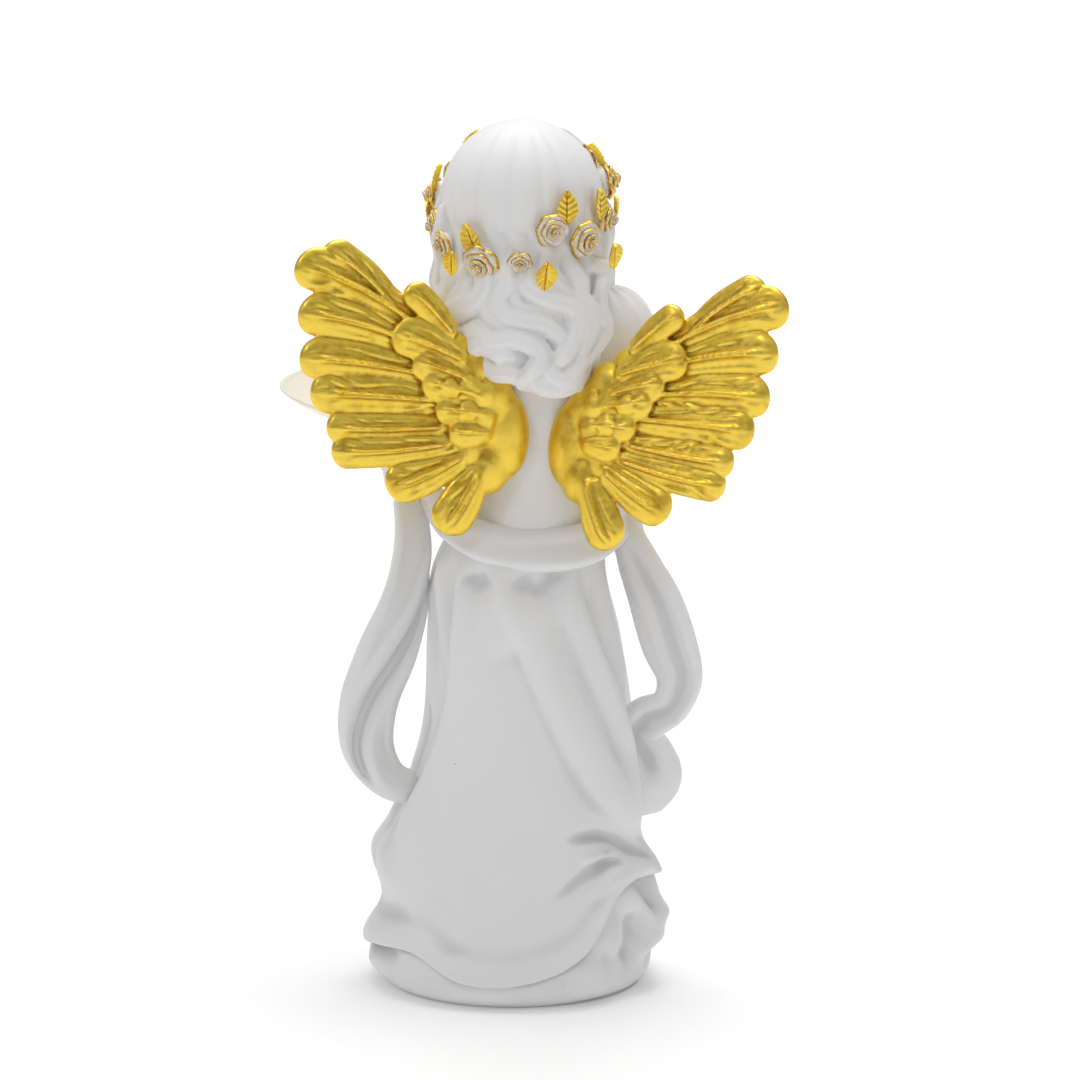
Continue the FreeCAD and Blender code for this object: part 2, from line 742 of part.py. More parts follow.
# Each feather: where it leaves the wing and where its tip ends, out and up from the root as shares of the
# wing's reach, its half width as a share of the widest, and how far its middle stands behind the wing's plane.
FEATHERS = [
    ((0.48, 0.44), (0.84, 0.775), 0.80, -1.4),
    ((0.42, 0.42), (0.97, 0.715), 1.04, -1.0),
    ((0.42, 0.34), (0.965, 0.505), 1.00, -0.6),
    ((0.40, 0.22), (0.965, 0.310), 0.96, -0.2),
    ((0.30, 0.10), (0.92, 0.160), 0.96, 0.2),
    ((0.30, -0.01), (0.85, 0.005), 0.70, 0.6),
    ((0.28, -0.08), (0.83, -0.100), 0.78, 1.0),
    ((0.22, -0.13), (0.58, -0.270), 1.00, 1.4),
    ((0.15, -0.20), (0.33, -0.470), 1.08, 1.8),
]
COVERTS = [
    ((0.28, 0.38), (0.48, 0.60), 0.80, 1.55),
    ((0.22, 0.27), (0.54, 0.41), 0.92, 1.95),
    ((0.17, 0.17), (0.47, 0.26), 0.92, 2.35),
    ((0.12, 0.10), (0.39, 0.15), 0.88, 2.75),
    ((0.10, 0.02), (0.31, 0.03), 0.88, 3.15),
]
WEB = [
    (0.29, 0.43),
    (0.12, 0.27),
    (0.03, 0.15),
    (0.01, 0.02),
    (0.02, -0.13),
    (0.06, -0.26),
    (0.14, -0.42),
    (0.30, -0.30),
    (0.46, -0.08),
    (0.60, 0.16),
    (0.62, 0.36),
    (0.52, 0.52),
]
ROOT = [
    (0.03, 0.16),
    (0.00, 0.03),
    (0.02, -0.14),
    (0.07, -0.28),
    (0.16, -0.31),
    (0.21, -0.10),
    (0.21, 0.09),
    (0.14, 0.22),
]


def wing(word):
    """A fan of feathers and coverts on a web, with a thick root and a tenon, as one casting."""
    side = WINGS[word]["side"]
    body = doc.addObject("PartDesign::Body", f"{word}_wing_body")
    reach, thickness = float(D.wing_reach), D.feather_thickness
    for name, outline, thick in (("web", WEB, thickness), ("root", ROOT, thickness * 2.1)):
        plate = plane_sketch(body, "XY_Plane", f"{word}_{name}")
        polygon(plate, [(D.wing_reach * (-side * out), D.wing_reach * up) for out, up in outline])
        plate.AttachmentOffset = Placement(Vector(0, 0, -float(thick) / 2), Rotation())
        pad_on(body, plate, thick)
    for number, (start, tip, share, lift) in enumerate(FEATHERS + COVERTS, start=1):
        first, last = (Vector(-side * place[0], place[1], 0) * reach for place in (start, tip))
        along = (last - first).normalize()
        half_width = D.feather_half_width * share
        length = (last - first).Length - float(half_width)
        feather = plane_sketch(body, "XY_Plane", f"{word}_feather_{number}")
        slot(feather, D.wing_reach * round(length / reach, 4), half_width)
        heading = math.degrees(math.atan2(along.y, along.x))
        offset = first + Vector(0, 0, lift - float(thickness) / 2)
        feather.AttachmentOffset = Placement(offset, Rotation(Vector(0, 0, 1), heading))
        pad_on(body, feather, thickness)
    body.Placement = wing_frame(word)
    clear = cut_each(f"{word}_wing", body, [robe_solid, head_solid])
    return node(f"{word}_wing_casting", fuse(f"{word}_wing", [clear, tenon_tool(f"{word}_wing_tenon", word, NONE)]))


for word in WINGS:
    wing(word)

# ---------------------------------------------------------------- check and write

doc.recompute()
for made in doc.Objects:
    if "Invalid" in made.State or "Error" in made.State:
        raise RuntimeError(f"{made.Name} failed: {made.State}")
os.makedirs("parts", exist_ok=True)
for label, made in NODES.items():
    shape = made.Shape
    if shape.isNull() or not shape.isValid() or not shape.Solids:
        raise RuntimeError(f"{label} has no valid solid")
    print(f"{label}: {len(shape.Solids)} solids, {shape.Volume:.0f} mm3")
    shape.exportStep(os.path.join("parts", label + ".step"))
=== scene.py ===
"""Resin angel figurine: the visual model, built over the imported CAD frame.

The working unit is the millimetre; meshes are made in metres. The angel faces -Y, +X is to the angel's left.
Bearings are in degrees round the body from the back (0) towards the angel's right (+90).
"""
import math

import bpy
import numpy as np
from mathutils import Matrix, Vector


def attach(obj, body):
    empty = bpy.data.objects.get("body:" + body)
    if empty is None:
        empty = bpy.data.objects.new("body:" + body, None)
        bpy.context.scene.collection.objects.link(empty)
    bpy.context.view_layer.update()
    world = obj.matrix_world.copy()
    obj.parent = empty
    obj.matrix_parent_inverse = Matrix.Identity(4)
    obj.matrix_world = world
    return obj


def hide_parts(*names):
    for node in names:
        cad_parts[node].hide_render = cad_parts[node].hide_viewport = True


MM = 0.001
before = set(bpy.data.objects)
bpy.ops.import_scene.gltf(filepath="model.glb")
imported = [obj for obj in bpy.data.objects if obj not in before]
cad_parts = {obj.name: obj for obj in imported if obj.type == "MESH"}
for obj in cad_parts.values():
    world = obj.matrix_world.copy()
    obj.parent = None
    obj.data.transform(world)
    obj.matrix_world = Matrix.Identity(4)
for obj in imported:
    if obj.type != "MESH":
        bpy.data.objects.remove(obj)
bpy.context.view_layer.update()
FINISH = {}


# ------------------------------------------------------------------ curves and meshes


def spline(points, count):
    """A smooth curve through points, at evenly spaced steps of the points' own numbering."""
    points = np.asarray(points, float)
    padded = np.vstack([2 * points[0] - points[1], points, 2 * points[-1] - points[-2]])
    place = np.linspace(0, len(points) - 1, count)
    start = np.minimum(place.astype(int), len(points) - 2)
    t = (place - start)[:, None]
    a, b, c, d = (padded[start + step] for step in range(4))
    return 0.5 * (2 * b + (c - a) * t + (2 * a - 5 * b + 4 * c - d) * t**2 + (3 * b - a - 3 * c + d) * t**3)


def ramp(value, low, high):
    """0 below low, 1 above high, smooth between."""
    t = np.clip((value - low) / (high - low), 0, 1)
    return t * t * (3 - 2 * t)


def unit(vectors):
    vectors = np.asarray(vectors, float)
    return vectors / np.maximum(np.linalg.norm(vectors, axis=-1, keepdims=True), 1e-9)


def closed_grid(points):
    """A surface of rows that each run right round, closed by a point at each end."""
    rows, columns, _ = points.shape
    verts = np.concatenate([points.reshape(-1, 3), points[:1].mean(1), points[-1:].mean(1)])
    row, column = np.arange(rows - 1)[:, None] * columns, np.arange(columns)[None]
    beside = (column + 1) % columns
    quads = np.stack([row + column, row + beside, row + columns + beside, row + columns + column], -1)
    faces = quads.reshape(-1, 4).tolist()
    around, after = np.arange(columns), (np.arange(columns) + 1) % columns
    low, high, last = rows * columns, rows * columns + 1, (rows - 1) * columns
    faces += [[int(n), int(a), low] for a, n in zip(around, after)]
    faces += [[int(last + a), int(last + n), high] for a, n in zip(around, after)]
    return outward(verts, faces)


def outward(verts, faces):
    """Turns a closed surface's faces outwards, if they point in."""
    volume = 0.0
    for corners in (3, 4):
        index = np.array([face for face in faces if len(face) == corners], int)
        if len(index):
            for step in range(1, corners - 1):
                a, b, c = verts[index[:, 0]], verts[index[:, step]], verts[index[:, step + 1]]
                volume += np.einsum("ij,ij->", a, np.cross(b, c))
    return verts, faces if volume > 0 else [face[::-1] for face in faces]


def join(shells):
    verts, faces, base = [], [], 0
    for shell_verts, shell_faces in shells:
        verts.append(shell_verts)
        faces += [[index + base for index in face] for face in shell_faces]
        base += len(shell_verts)
    return np.concatenate(verts), faces


def mesh_object(name, shell, finish, **attributes):
    """A smooth mesh from millimetre points, with its finish and any number given at every point."""
    mesh = bpy.data.meshes.new(name)
    mesh.from_pydata((np.asarray(shell[0]) * MM).tolist(), [], shell[1])
    for attribute, values in attributes.items():
        layer = mesh.attributes.new(attribute, "FLOAT", "POINT")
        layer.data.foreach_set("value", np.asarray(values, np.float32))
    mesh.polygons.foreach_set("use_smooth", [True] * len(mesh.polygons))
    made = bpy.data.objects.new(name, mesh)
    bpy.context.scene.collection.objects.link(made)
    if finish:
        mesh.materials.append(FINISH[finish])
    return made


def settled(made):
    """The object as a plain mesh, with its modifiers done."""
    depsgraph = bpy.context.evaluated_depsgraph_get()
    mesh = bpy.data.meshes.new_from_object(made.evaluated_get(depsgraph), depsgraph=depsgraph)
    made.modifiers.clear()
    made.data = mesh
    return made


def mesh_arrays(mesh):
    points = np.empty(len(mesh.vertices) * 3)
    mesh.vertices.foreach_get("co", points)
    edges = np.empty(len(mesh.edges) * 2, int)
    mesh.edges.foreach_get("vertices", edges)
    return points.reshape(-1, 3), edges.reshape(-1, 2)


def relaxed(points, edges, rounds, strength=1.0):
    """Points moved towards the middle of their neighbours."""
    ends, others = np.concatenate([edges[:, 0], edges[:, 1]]), np.concatenate([edges[:, 1], edges[:, 0]])
    count = np.maximum(np.bincount(ends, minlength=len(points)), 1)[:, None]
    for _ in range(rounds):
        total = np.stack([np.bincount(ends, points[others, k], len(points)) for k in range(3)], -1)
        points = points + (total / count - points) * strength
    return points


def cast_as_one(name, shells, voxel, rounds, finish):
    """Shells that overlap, melted into one skin."""
    made = mesh_object(name, join(shells), finish)
    melt = made.modifiers.new("melt", "REMESH")
    melt.mode, melt.voxel_size = "VOXEL", voxel * MM
    settled(made)
    points, edges = mesh_arrays(made.data)
    points = relaxed(points, edges, rounds, 0.6)
    made.data.vertices.foreach_set("co", points.ravel())
    made.data.polygons.foreach_set("use_smooth", [True] * len(made.data.polygons))
    if not made.data.materials:
        made.data.materials.append(FINISH[finish])
    return made


def mark_hollows(made, rounds):
    """Stores how far each point lies in a hollow (+) or on a ridge (-), in millimetres."""
    mesh = made.data
    points, edges = mesh_arrays(mesh)
    normals = np.empty(len(points) * 3)
    mesh.vertices.foreach_get("normal", normals)
    depth = np.einsum("ij,ij->i", relaxed(points, edges, rounds) - points, normals.reshape(-1, 3)) / MM
    layer = mesh.attributes.new("hollow", "FLOAT", "POINT")
    layer.data.foreach_set("value", depth.astype(np.float32))


def finish_piece(made, nodes, rounds=8):
    mark_hollows(made, rounds)
    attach(made, "root")
    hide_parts(*nodes)
    return made


def sweep(path, width, thickness, wide, sides=24, ribs=0, rib_depth=0.0, drift=0.0):
    """A closed strand along a path. Width and thickness are halves, one for each point of the path; wide is
    the way it is wide. Ribs run along its skin, and drift winds them round it."""
    path = np.asarray(path, float)
    tangent = unit(np.gradient(path, axis=0))
    wide = np.broadcast_to(np.asarray(wide, float), path.shape)
    wide = unit(wide - tangent * np.sum(wide * tangent, -1, keepdims=True))
    thin = np.cross(tangent, wide)
    t = np.linspace(0, 1, len(path))[:, None]
    angle = np.linspace(0, 2 * math.pi, sides, endpoint=False)[None]
    swell = 1 + rib_depth * np.cos(ribs * angle + drift * t * 6)
    across = np.cos(angle) * np.asarray(width).reshape(-1, 1) * swell
    through = np.sin(angle) * np.asarray(thickness).reshape(-1, 1) * swell
    points = path[:, None] + across[..., None] * wide[:, None] + through[..., None] * thin[:, None]
    return closed_grid(points)


def ellipsoid(centre, radii, axes=np.eye(3), rows=24, columns=40):
    latitude = np.linspace(-math.pi / 2, math.pi / 2, rows + 2)[1:-1, None]
    longitude = np.linspace(0, 2 * math.pi, columns, endpoint=False)[None]
    ball = np.stack(
        [np.cos(latitude) * np.cos(longitude), np.cos(latitude) * np.sin(longitude),
         np.sin(latitude) * np.ones_like(longitude)], -1)
    return closed_grid(np.asarray(centre) + (ball * np.asarray(radii)) @ np.asarray(axes))


def near_path(points, path, left, right):
    """How near flat points lie to a path: 1 on it, falling to 0 at a width on each side of it. Also how far
    along the path they are, from 0 to 1."""
    path = np.asarray(path, float)
    flat = points.reshape(-1, 2)
    reach = np.concatenate([[0], np.cumsum(np.linalg.norm(np.diff(path, axis=0), axis=1))])
    best, along, side = np.full(len(flat), 1e9), np.zeros(len(flat)), np.ones(len(flat))
    for index in range(len(path) - 1):
        step = path[index + 1] - path[index]
        t = np.clip((flat - path[index]) @ step / (step @ step), 0, 1)
        gap = flat - path[index] - t[:, None] * step
        distance = np.linalg.norm(gap, axis=1)
        closer = distance < best
        best[closer] = distance[closer]
        along[closer] = (reach[index] + t[closer] * np.linalg.norm(step)) / reach[-1]
        side[closer] = np.sign(step[0] * gap[closer, 1] - step[1] * gap[closer, 0])
    x = np.clip(best / np.where(side > 0, left, right), 0, 1)
    return ((1 - x * x) ** 2).reshape(points.shape[:-1]), along.reshape(points.shape[:-1])


# ------------------------------------------------------------------ the robe's plain form

# Height, half width, half depth, and the middle's x and y.
BODY = np.array([
    (0.5, 36.6, 33.6, 1.0, 0), (3, 38.8, 35.6, 0.6, 0), (8, 40.4, 36.6, 0.2, 0), (16, 42.2, 37.4, 0, 0),
    (34, 39.8, 36.4, -0.5, 0), (45, 36.3, 34.4, -0.6, 0), (58, 32.4, 32.0, -2.8, 0),
    (66, 30.4, 30.6, -3.6, 0), (75, 28.6, 29.2, -3.9, 0), (86, 27.2, 27.6, -3.4, 0),
    (100, 25.8, 25.5, -2.2, 0), (112, 24.8, 23.4, -1.3, 0), (122, 24.4, 20.6, -1.1, 0),
    (130, 23.0, 17.4, -2.6, 0), (137, 20.4, 15.2, -4.8, 0), (148, 17.6, 13.5, -6.5, 0),
    (165, 19.0, 13.4, -6.9, 0), (179, 20.6, 12.9, -6.5, 0), (190, 16.4, 10.4, -5.9, -0.9),
    (197, 8.4, 7.9, -5.2, -1.8), (201.5, 7.4, 7.2, -5, -2.2), (208, 7.3, 7.2, -4.6, -3)])
TABLE = spline(BODY, 400)


def body_at(z):
    return [np.interp(z, TABLE[:, 0], TABLE[:, k]) for k in range(1, 5)]


def wrap(bearing, height, push=0.0, shrink=0.0):
    """Points on the body's plain form, at a bearing and a height, pushed out along its normal."""
    a, b, x, y = body_at(height)
    a, b = a - shrink, b - shrink
    angle = np.radians(bearing)
    normal = unit(np.stack([-np.sin(angle) / a, np.cos(angle) / b], -1))
    spot = np.stack([x - a * np.sin(angle), y + b * np.cos(angle)], -1)
    spot = spot + normal * np.asarray(push)[..., None]
    return np.concatenate([spot, (height + np.zeros_like(a))[..., None]], -1)


def laid_flat(bearing, height):
    """Bearing and height as millimetres of cloth."""
    a, b, _, _ = body_at(height)
    return np.stack([np.radians(bearing) * (a + b) / 2, height], -1)


def fold_field(bearing, height, folds):
    """The push of every fold. A fold is its height, its width on each side, and its path by bearing and
    height; it dies away at both ends unless its height says otherwise."""
    push = np.zeros_like(bearing)
    for rise, left, right, path in folds:
        path = spline(path, 24)
        middle = path[:, 0].mean()
        turned = (bearing - middle + 180) % 360 - 180 + middle
        near, along = near_path(
            laid_flat(turned, height), laid_flat(path[:, 0], path[:, 1]), left, right)
        push += rise * near * ramp(along, -0.04, 0.24) * (1 - ramp(along, 0.76, 1.02))
    return push


def softened(field, rounds):
    """A field smoothed round the body and up it."""
    for _ in range(rounds):
        field = (np.roll(field, 1, 1) + np.roll(field, -1, 1) + 2 * field) / 4
        field[1:-1] = (field[:-2] + field[2:] + 2 * field[1:-1]) / 4
    return field


def noise_wave(x, y, seed):
    """A soft uneven field between about -1 and 1, the same every time."""
    source = np.random.default_rng(seed)
    total = 0.0
    for _ in range(7):
        fx, fy, phase = source.uniform(-1, 1), source.uniform(-1, 1), source.uniform(0, 6.28)
        total = total + np.sin(x * fx + y * fy + phase)
    return total / 3.2


# ------------------------------------------------------------------ finishes


def add(tree, kind, inputs=(), **settings):
    """A node with its settings, and its inputs given as values or as other nodes' outputs."""
    made = tree.nodes.new(kind)
    for key, value in settings.items():
        setattr(made, key, value)
    for key, value in dict(inputs).items():
        if isinstance(value, bpy.types.NodeSocket):
            tree.links.new(value, made.inputs[key])
        else:
            made.inputs[key].default_value = value
    return made


def shared(name, inputs, outputs):
    """A node group for an effect that several finishes share."""
    tree = bpy.data.node_groups.new(name, "ShaderNodeTree")
    for label, kind, value in inputs:
        socket = tree.interface.new_socket(label, in_out="INPUT", socket_type=f"NodeSocket{kind}")
        if value is not None:
            socket.default_value = value
    for label, kind in outputs:
        tree.interface.new_socket(label, in_out="OUTPUT", socket_type=f"NodeSocket{kind}")
    return tree, tree.nodes.new("NodeGroupInput").outputs, tree.nodes.new("NodeGroupOutput").inputs


def math_node(tree, operation, a, b=0.0, c=0.0):
    return add(tree, "ShaderNodeMath", {0: a, 1: b, 2: c}, operation=operation).outputs[0]


def spread(tree, value, low, high, to_low=0.0, to_high=1.0):
    inputs = {"Value": value, "From Min": low, "From Max": high, "To Min": to_low, "To Max": to_high}
    return add(tree, "ShaderNodeMapRange", inputs, interpolation_type="SMOOTHSTEP").outputs["Result"]


def blend(tree, share, a, b, kind="MIX"):
    made = add(tree, "ShaderNodeMix", data_type="RGBA", blend_type=kind)
    for index, value in ((0, share), (6, a), (7, b)):
        if isinstance(value, bpy.types.NodeSocket):
            tree.links.new(value, made.inputs[index])
        else:
            made.inputs[index].default_value = value
    return made.outputs[2]


# Cells of pinholes to a millimetre, and the share of the cells that hold none.
PINHOLE_CELLS, PINHOLE_RARITY = 0.11, 0.72


def make_shared_effects():
    """pinholes, painted shade in the hollows, brushing and grain, which the finishes share. Points are in
    millimetres.
    """
    tree, given, made = shared(
        "pinholes", [("Point", "Vector", None), ("Size", "Float", 0.22)], [("Mask", "Float")])
    scaled = add(
        tree, "ShaderNodeVectorMath", {0: given["Point"], "Scale": PINHOLE_CELLS},
        operation="SCALE").outputs[0]
    cells = add(tree, "ShaderNodeTexVoronoi", {"Vector": scaled, "Scale": 1.0}, feature="F1")
    chosen = math_node(tree, "GREATER_THAN", add(
        tree, "ShaderNodeSeparateColor", {0: cells.outputs["Color"]}).outputs[0], PINHOLE_RARITY)
    radius = math_node(tree, "MULTIPLY", given["Size"], PINHOLE_CELLS)
    near = math_node(tree, "LESS_THAN", cells.outputs["Distance"], radius)
    tree.links.new(math_node(tree, "MULTIPLY", near, chosen), made["Mask"])

    # Painted shade in the hollows: the colour goes from the unshaded colour to the dark shade colour as the
    # stored hollow deepens, made uneven by a soft noise cloud.
    tree, given, made = shared(
        "painted_hollow_shade", [("Point", "Vector", None), ("Hollow", "Float", 0.0), ("Reach", "Float", 0.5),
                    ("Unshaded", "Color", (1, 1, 1, 1)), ("Dark", "Color", (0.5, 0.5, 0.5, 1))],
        [("Color", "Color")])
    cloud = add(tree, "ShaderNodeTexNoise", {"Vector": given["Point"], "Scale": 0.35, "Detail": 3.0})
    depth = math_node(tree, "DIVIDE", given["Hollow"], given["Reach"])
    mask = spread(tree, math_node(tree, "MULTIPLY_ADD", cloud.outputs["Fac"], 0.25, depth), 0.1, 0.95)
    tree.links.new(blend(tree, mask, given["Unshaded"], given["Dark"]), made["Color"])

    tree, given, made = shared(
        "brushing", [("Point", "Vector", None), ("Across", "Float", 1.6)],
        [("Mask", "Float"), ("Height", "Float")])
    warped = add(tree, "ShaderNodeTexNoise", {"Vector": given["Point"], "Scale": 0.12, "Detail": 1.0})
    bent = add(tree, "ShaderNodeVectorMath", {0: given["Point"], 1: warped.outputs["Color"]}, operation="ADD")
    stretched = add(tree, "ShaderNodeMapping", {"Vector": bent.outputs[0], "Scale": (0.12, 1.0, 0.5)})
    streaks = add(
        tree, "ShaderNodeTexNoise", {"Vector": stretched.outputs[0], "Scale": given["Across"], "Detail": 4.0})
    tree.links.new(spread(tree, streaks.outputs["Fac"], 0.42, 0.66), made["Mask"])
    tree.links.new(streaks.outputs["Fac"], made["Height"])

    tree, given, made = shared(
        "grain", [("Point", "Vector", None), ("Fineness", "Float", 3.0)],
        [("Height", "Float"), ("Patches", "Float")])
    fine = add(tree, "ShaderNodeTexNoise", {"Vector": given["Point"], "Scale": given["Fineness"],
                                            "Detail": 3.0})
    broad = add(tree, "ShaderNodeTexNoise", {"Vector": given["Point"], "Scale": 0.04, "Detail": 2.0})
    tree.links.new(fine.outputs["Fac"], made["Height"])
    tree.links.new(spread(tree, broad.outputs["Fac"], 0.4, 0.7), made["Patches"])


def group(tree, name, inputs):
    made = tree.nodes.new("ShaderNodeGroup")
    made.node_tree = bpy.data.node_groups[name]
    for key, value in inputs.items():
        if isinstance(value, bpy.types.NodeSocket):
            tree.links.new(value, made.inputs[key])
        else:
            made.inputs[key].default_value = value
    return made.outputs


def start_finish(name):
    """A finish with its point in millimetres, its stored hollow and its Principled shader."""
    material = bpy.data.materials.new(name)
    material.use_nodes = True
    tree = material.node_tree
    place = add(tree, "ShaderNodeTexCoord").outputs["Object"]
    point = add(tree, "ShaderNodeVectorMath", {0: place, "Scale": 1000.0}, operation="SCALE").outputs[0]
    hollow = add(tree, "ShaderNodeAttribute", attribute_name="hollow").outputs["Fac"]
    FINISH[name] = material
    return tree, point, hollow, tree.nodes["Principled BSDF"]


def bump(tree, height, distance, strength):
    inputs = {"Height": height, "Distance": distance * MM, "Strength": strength}
    return add(tree, "ShaderNodeBump", inputs).outputs[0]


def resin_finish(name, unshaded_colour, shade, tint, roughness, coat=0.0):
    """Matt cast resin: a soft grain, a few pinholes, painted shade grey in the hollows and a faint uneven
    tint.
    """
    tree, point, hollow, shader = start_finish(name)
    # painted shade: the shade colour laid into the hollows
    hollow_shading = group(tree, "painted_hollow_shade", {"Point": point, "Hollow": hollow, "Reach": 0.42, "Unshaded": unshaded_colour,
                                   "Dark": shade})
    grain = group(tree, "grain", {"Point": point, "Fineness": 2.2})
    holes = group(tree, "pinholes", {"Point": point, "Size": 0.2})
    tinted = blend(tree, math_node(tree, "MULTIPLY", grain["Patches"], 0.35), hollow_shading["Color"], tint, "MULTIPLY")
    colour = blend(tree, math_node(tree, "MULTIPLY", holes["Mask"], 0.7), tinted, (0.2, 0.19, 0.18, 1))
    tree.links.new(colour, shader.inputs["Base Color"])
    tree.links.new(spread(tree, grain["Height"], 0.3, 0.7, roughness - 0.05, roughness + 0.06),
                   shader.inputs["Roughness"])
    tree.links.new(bump(tree, grain["Height"], 0.035, 0.5), shader.inputs["Normal"])
    shader.inputs["Coat Weight"].default_value = coat
    shader.inputs["Specular IOR Level"].default_value = 0.35


def gold_finish(name, wear, deep):
    """Gold paint: brushed streaks, painted shade brown in the hollows, paler and worn towards white on the
    ridges.
    """
    tree, point, hollow, shader = start_finish(name)
    streak = group(tree, "brushing", {"Point": point, "Across": 1.5})
    # painted shade: dark brown laid into the hollows
    hollow_shading = group(tree, "painted_hollow_shade", {
        "Point": point, "Hollow": hollow, "Reach": deep, "Unshaded": (0.88, 0.62, 0.075, 1),
        "Dark": (0.24, 0.12, 0.008, 1)})
    pale = blend(tree, math_node(tree, "MULTIPLY", streak["Mask"], 0.25), hollow_shading["Color"], (0.97, 0.78, 0.2, 1))
    ridge = spread(tree, math_node(tree, "MULTIPLY_ADD", streak["Height"], -0.5, hollow), -0.42, -0.75)
    worn = math_node(tree, "MULTIPLY", ridge, wear)
    broad = add(tree, "ShaderNodeTexNoise", {"Vector": point, "Scale": 0.16, "Detail": 3.0}).outputs["Fac"]
    shaded = blend(tree, spread(tree, broad, 0.5, 0.72, 0.0, 0.55), pale, (0.56, 0.33, 0.022, 1))
    tree.links.new(blend(tree, worn, shaded, (0.93, 0.86, 0.62, 1)), shader.inputs["Base Color"])
    tree.links.new(math_node(tree, "MULTIPLY_ADD", worn, -0.7, 0.9), shader.inputs["Metallic"])
    tree.links.new(spread(tree, streak["Height"], 0.3, 0.7, 0.3, 0.46), shader.inputs["Roughness"])
    tree.links.new(bump(tree, streak["Height"], 0.1, 0.5), shader.inputs["Normal"])


def rose_finish():
    """White resin with gold brushed along the petals' edges, and painted shade grey in the hollows."""
    tree, point, hollow, shader = start_finish("rose")
    edge = add(tree, "ShaderNodeAttribute", attribute_name="gilt").outputs["Fac"]
    grain = group(tree, "grain", {"Point": point, "Fineness": 1.4})
    streak = group(tree, "brushing", {"Point": point, "Across": 3.0})
    ragged = math_node(tree, "MULTIPLY_ADD", grain["Height"], 1.1, edge)
    gilt = spread(tree, ragged, 0.98, 1.12)
    # painted shade: a grey-brown laid into the hollows between the petals
    hollow_shading = group(tree, "painted_hollow_shade", {
        "Point": point, "Hollow": hollow, "Reach": 0.3, "Unshaded": (0.86, 0.85, 0.84, 1),
        "Dark": (0.55, 0.5, 0.45, 1)})
    gold = blend(tree, streak["Mask"], (0.74, 0.43, 0.04, 1), (0.93, 0.66, 0.13, 1))
    tree.links.new(blend(tree, gilt, hollow_shading["Color"], gold), shader.inputs["Base Color"])
    tree.links.new(math_node(tree, "MULTIPLY", gilt, 0.85), shader.inputs["Metallic"])
    tree.links.new(spread(tree, gilt, 0, 1, 0.5, 0.34), shader.inputs["Roughness"])
    tree.links.new(bump(tree, grain["Height"], 0.1, 0.5), shader.inputs["Normal"])


def felt_finish():
    """Pale felt, matt and fuzzy."""
    tree, point, _, shader = start_finish("felt_cloth")
    grain = group(tree, "grain", {"Point": point, "Fineness": 5.0})
    tree.links.new(blend(tree, grain["Height"], (0.55, 0.54, 0.52, 1), (0.8, 0.79, 0.77, 1)),
                   shader.inputs["Base Color"])
    shader.inputs["Roughness"].default_value = 0.95
    tree.links.new(bump(tree, grain["Height"], 0.3, 0.8), shader.inputs["Normal"])


def steel_finish():
    """Drawn steel wire."""
    tree, point, _, shader = start_finish("pin_steel")
    streak = group(tree, "brushing", {"Point": point, "Across": 5.0})
    tree.links.new(blend(tree, streak["Mask"], (0.5, 0.5, 0.51, 1), (0.66, 0.66, 0.67, 1)),
                   shader.inputs["Base Color"])
    shader.inputs["Metallic"].default_value = 1.0
    tree.links.new(spread(tree, streak["Height"], 0.3, 0.7, 0.22, 0.36), shader.inputs["Roughness"])


def floor_finish():
    """The plain pale floor, which glows more the further away it is, so that no edge of it shows."""
    tree, point, _, shader = start_finish("studio_floor")
    grain = group(tree, "grain", {"Point": point, "Fineness": 0.5})
    tree.links.new(blend(tree, grain["Height"], (0.9, 0.9, 0.9, 1), (0.93, 0.93, 0.93, 1)),
                   shader.inputs["Base Color"])
    shader.inputs["Roughness"].default_value = 0.8
    shader.inputs["Specular IOR Level"].default_value = 0.1
    shader.inputs["Emission Color"].default_value = (1, 1, 1, 1)
    beyond = add(tree, "ShaderNodeVectorMath", {0: point}, operation="LENGTH").outputs["Value"]
    tree.links.new(spread(tree, beyond, 300, 1500, 0.12, 0.62), shader.inputs["Emission Strength"])


make_shared_effects()
# Each resin: its colour, the colour of the painted shade in its hollows, its patchy tint, its roughness and
# its coat.
resin_finish("white_resin", (0.80, 0.80, 0.806, 1), (0.67, 0.67, 0.685, 1), (1.0, 0.985, 0.95, 1), 0.5)
# The dish's resin is white: its cream colour is painted reflection of the warm light from the gold wings, and
# its darker colour is painted shade in its hollows.
resin_finish("cream_resin", (0.83, 0.78, 0.66, 1), (0.58, 0.56, 0.5, 1), (1.0, 0.97, 0.9, 1), 0.32, 0.2)
resin_finish("plug_resin", (0.75, 0.74, 0.71, 1), (0.5, 0.49, 0.46, 1), (0.95, 0.93, 0.9, 1), 0.6)
gold_finish("wing_gold", 0.75, 0.32)
gold_finish("leaf_gold", 0.5, 0.3)
rose_finish()
felt_finish()
steel_finish()
floor_finish()

# ------------------------------------------------------------------ robe

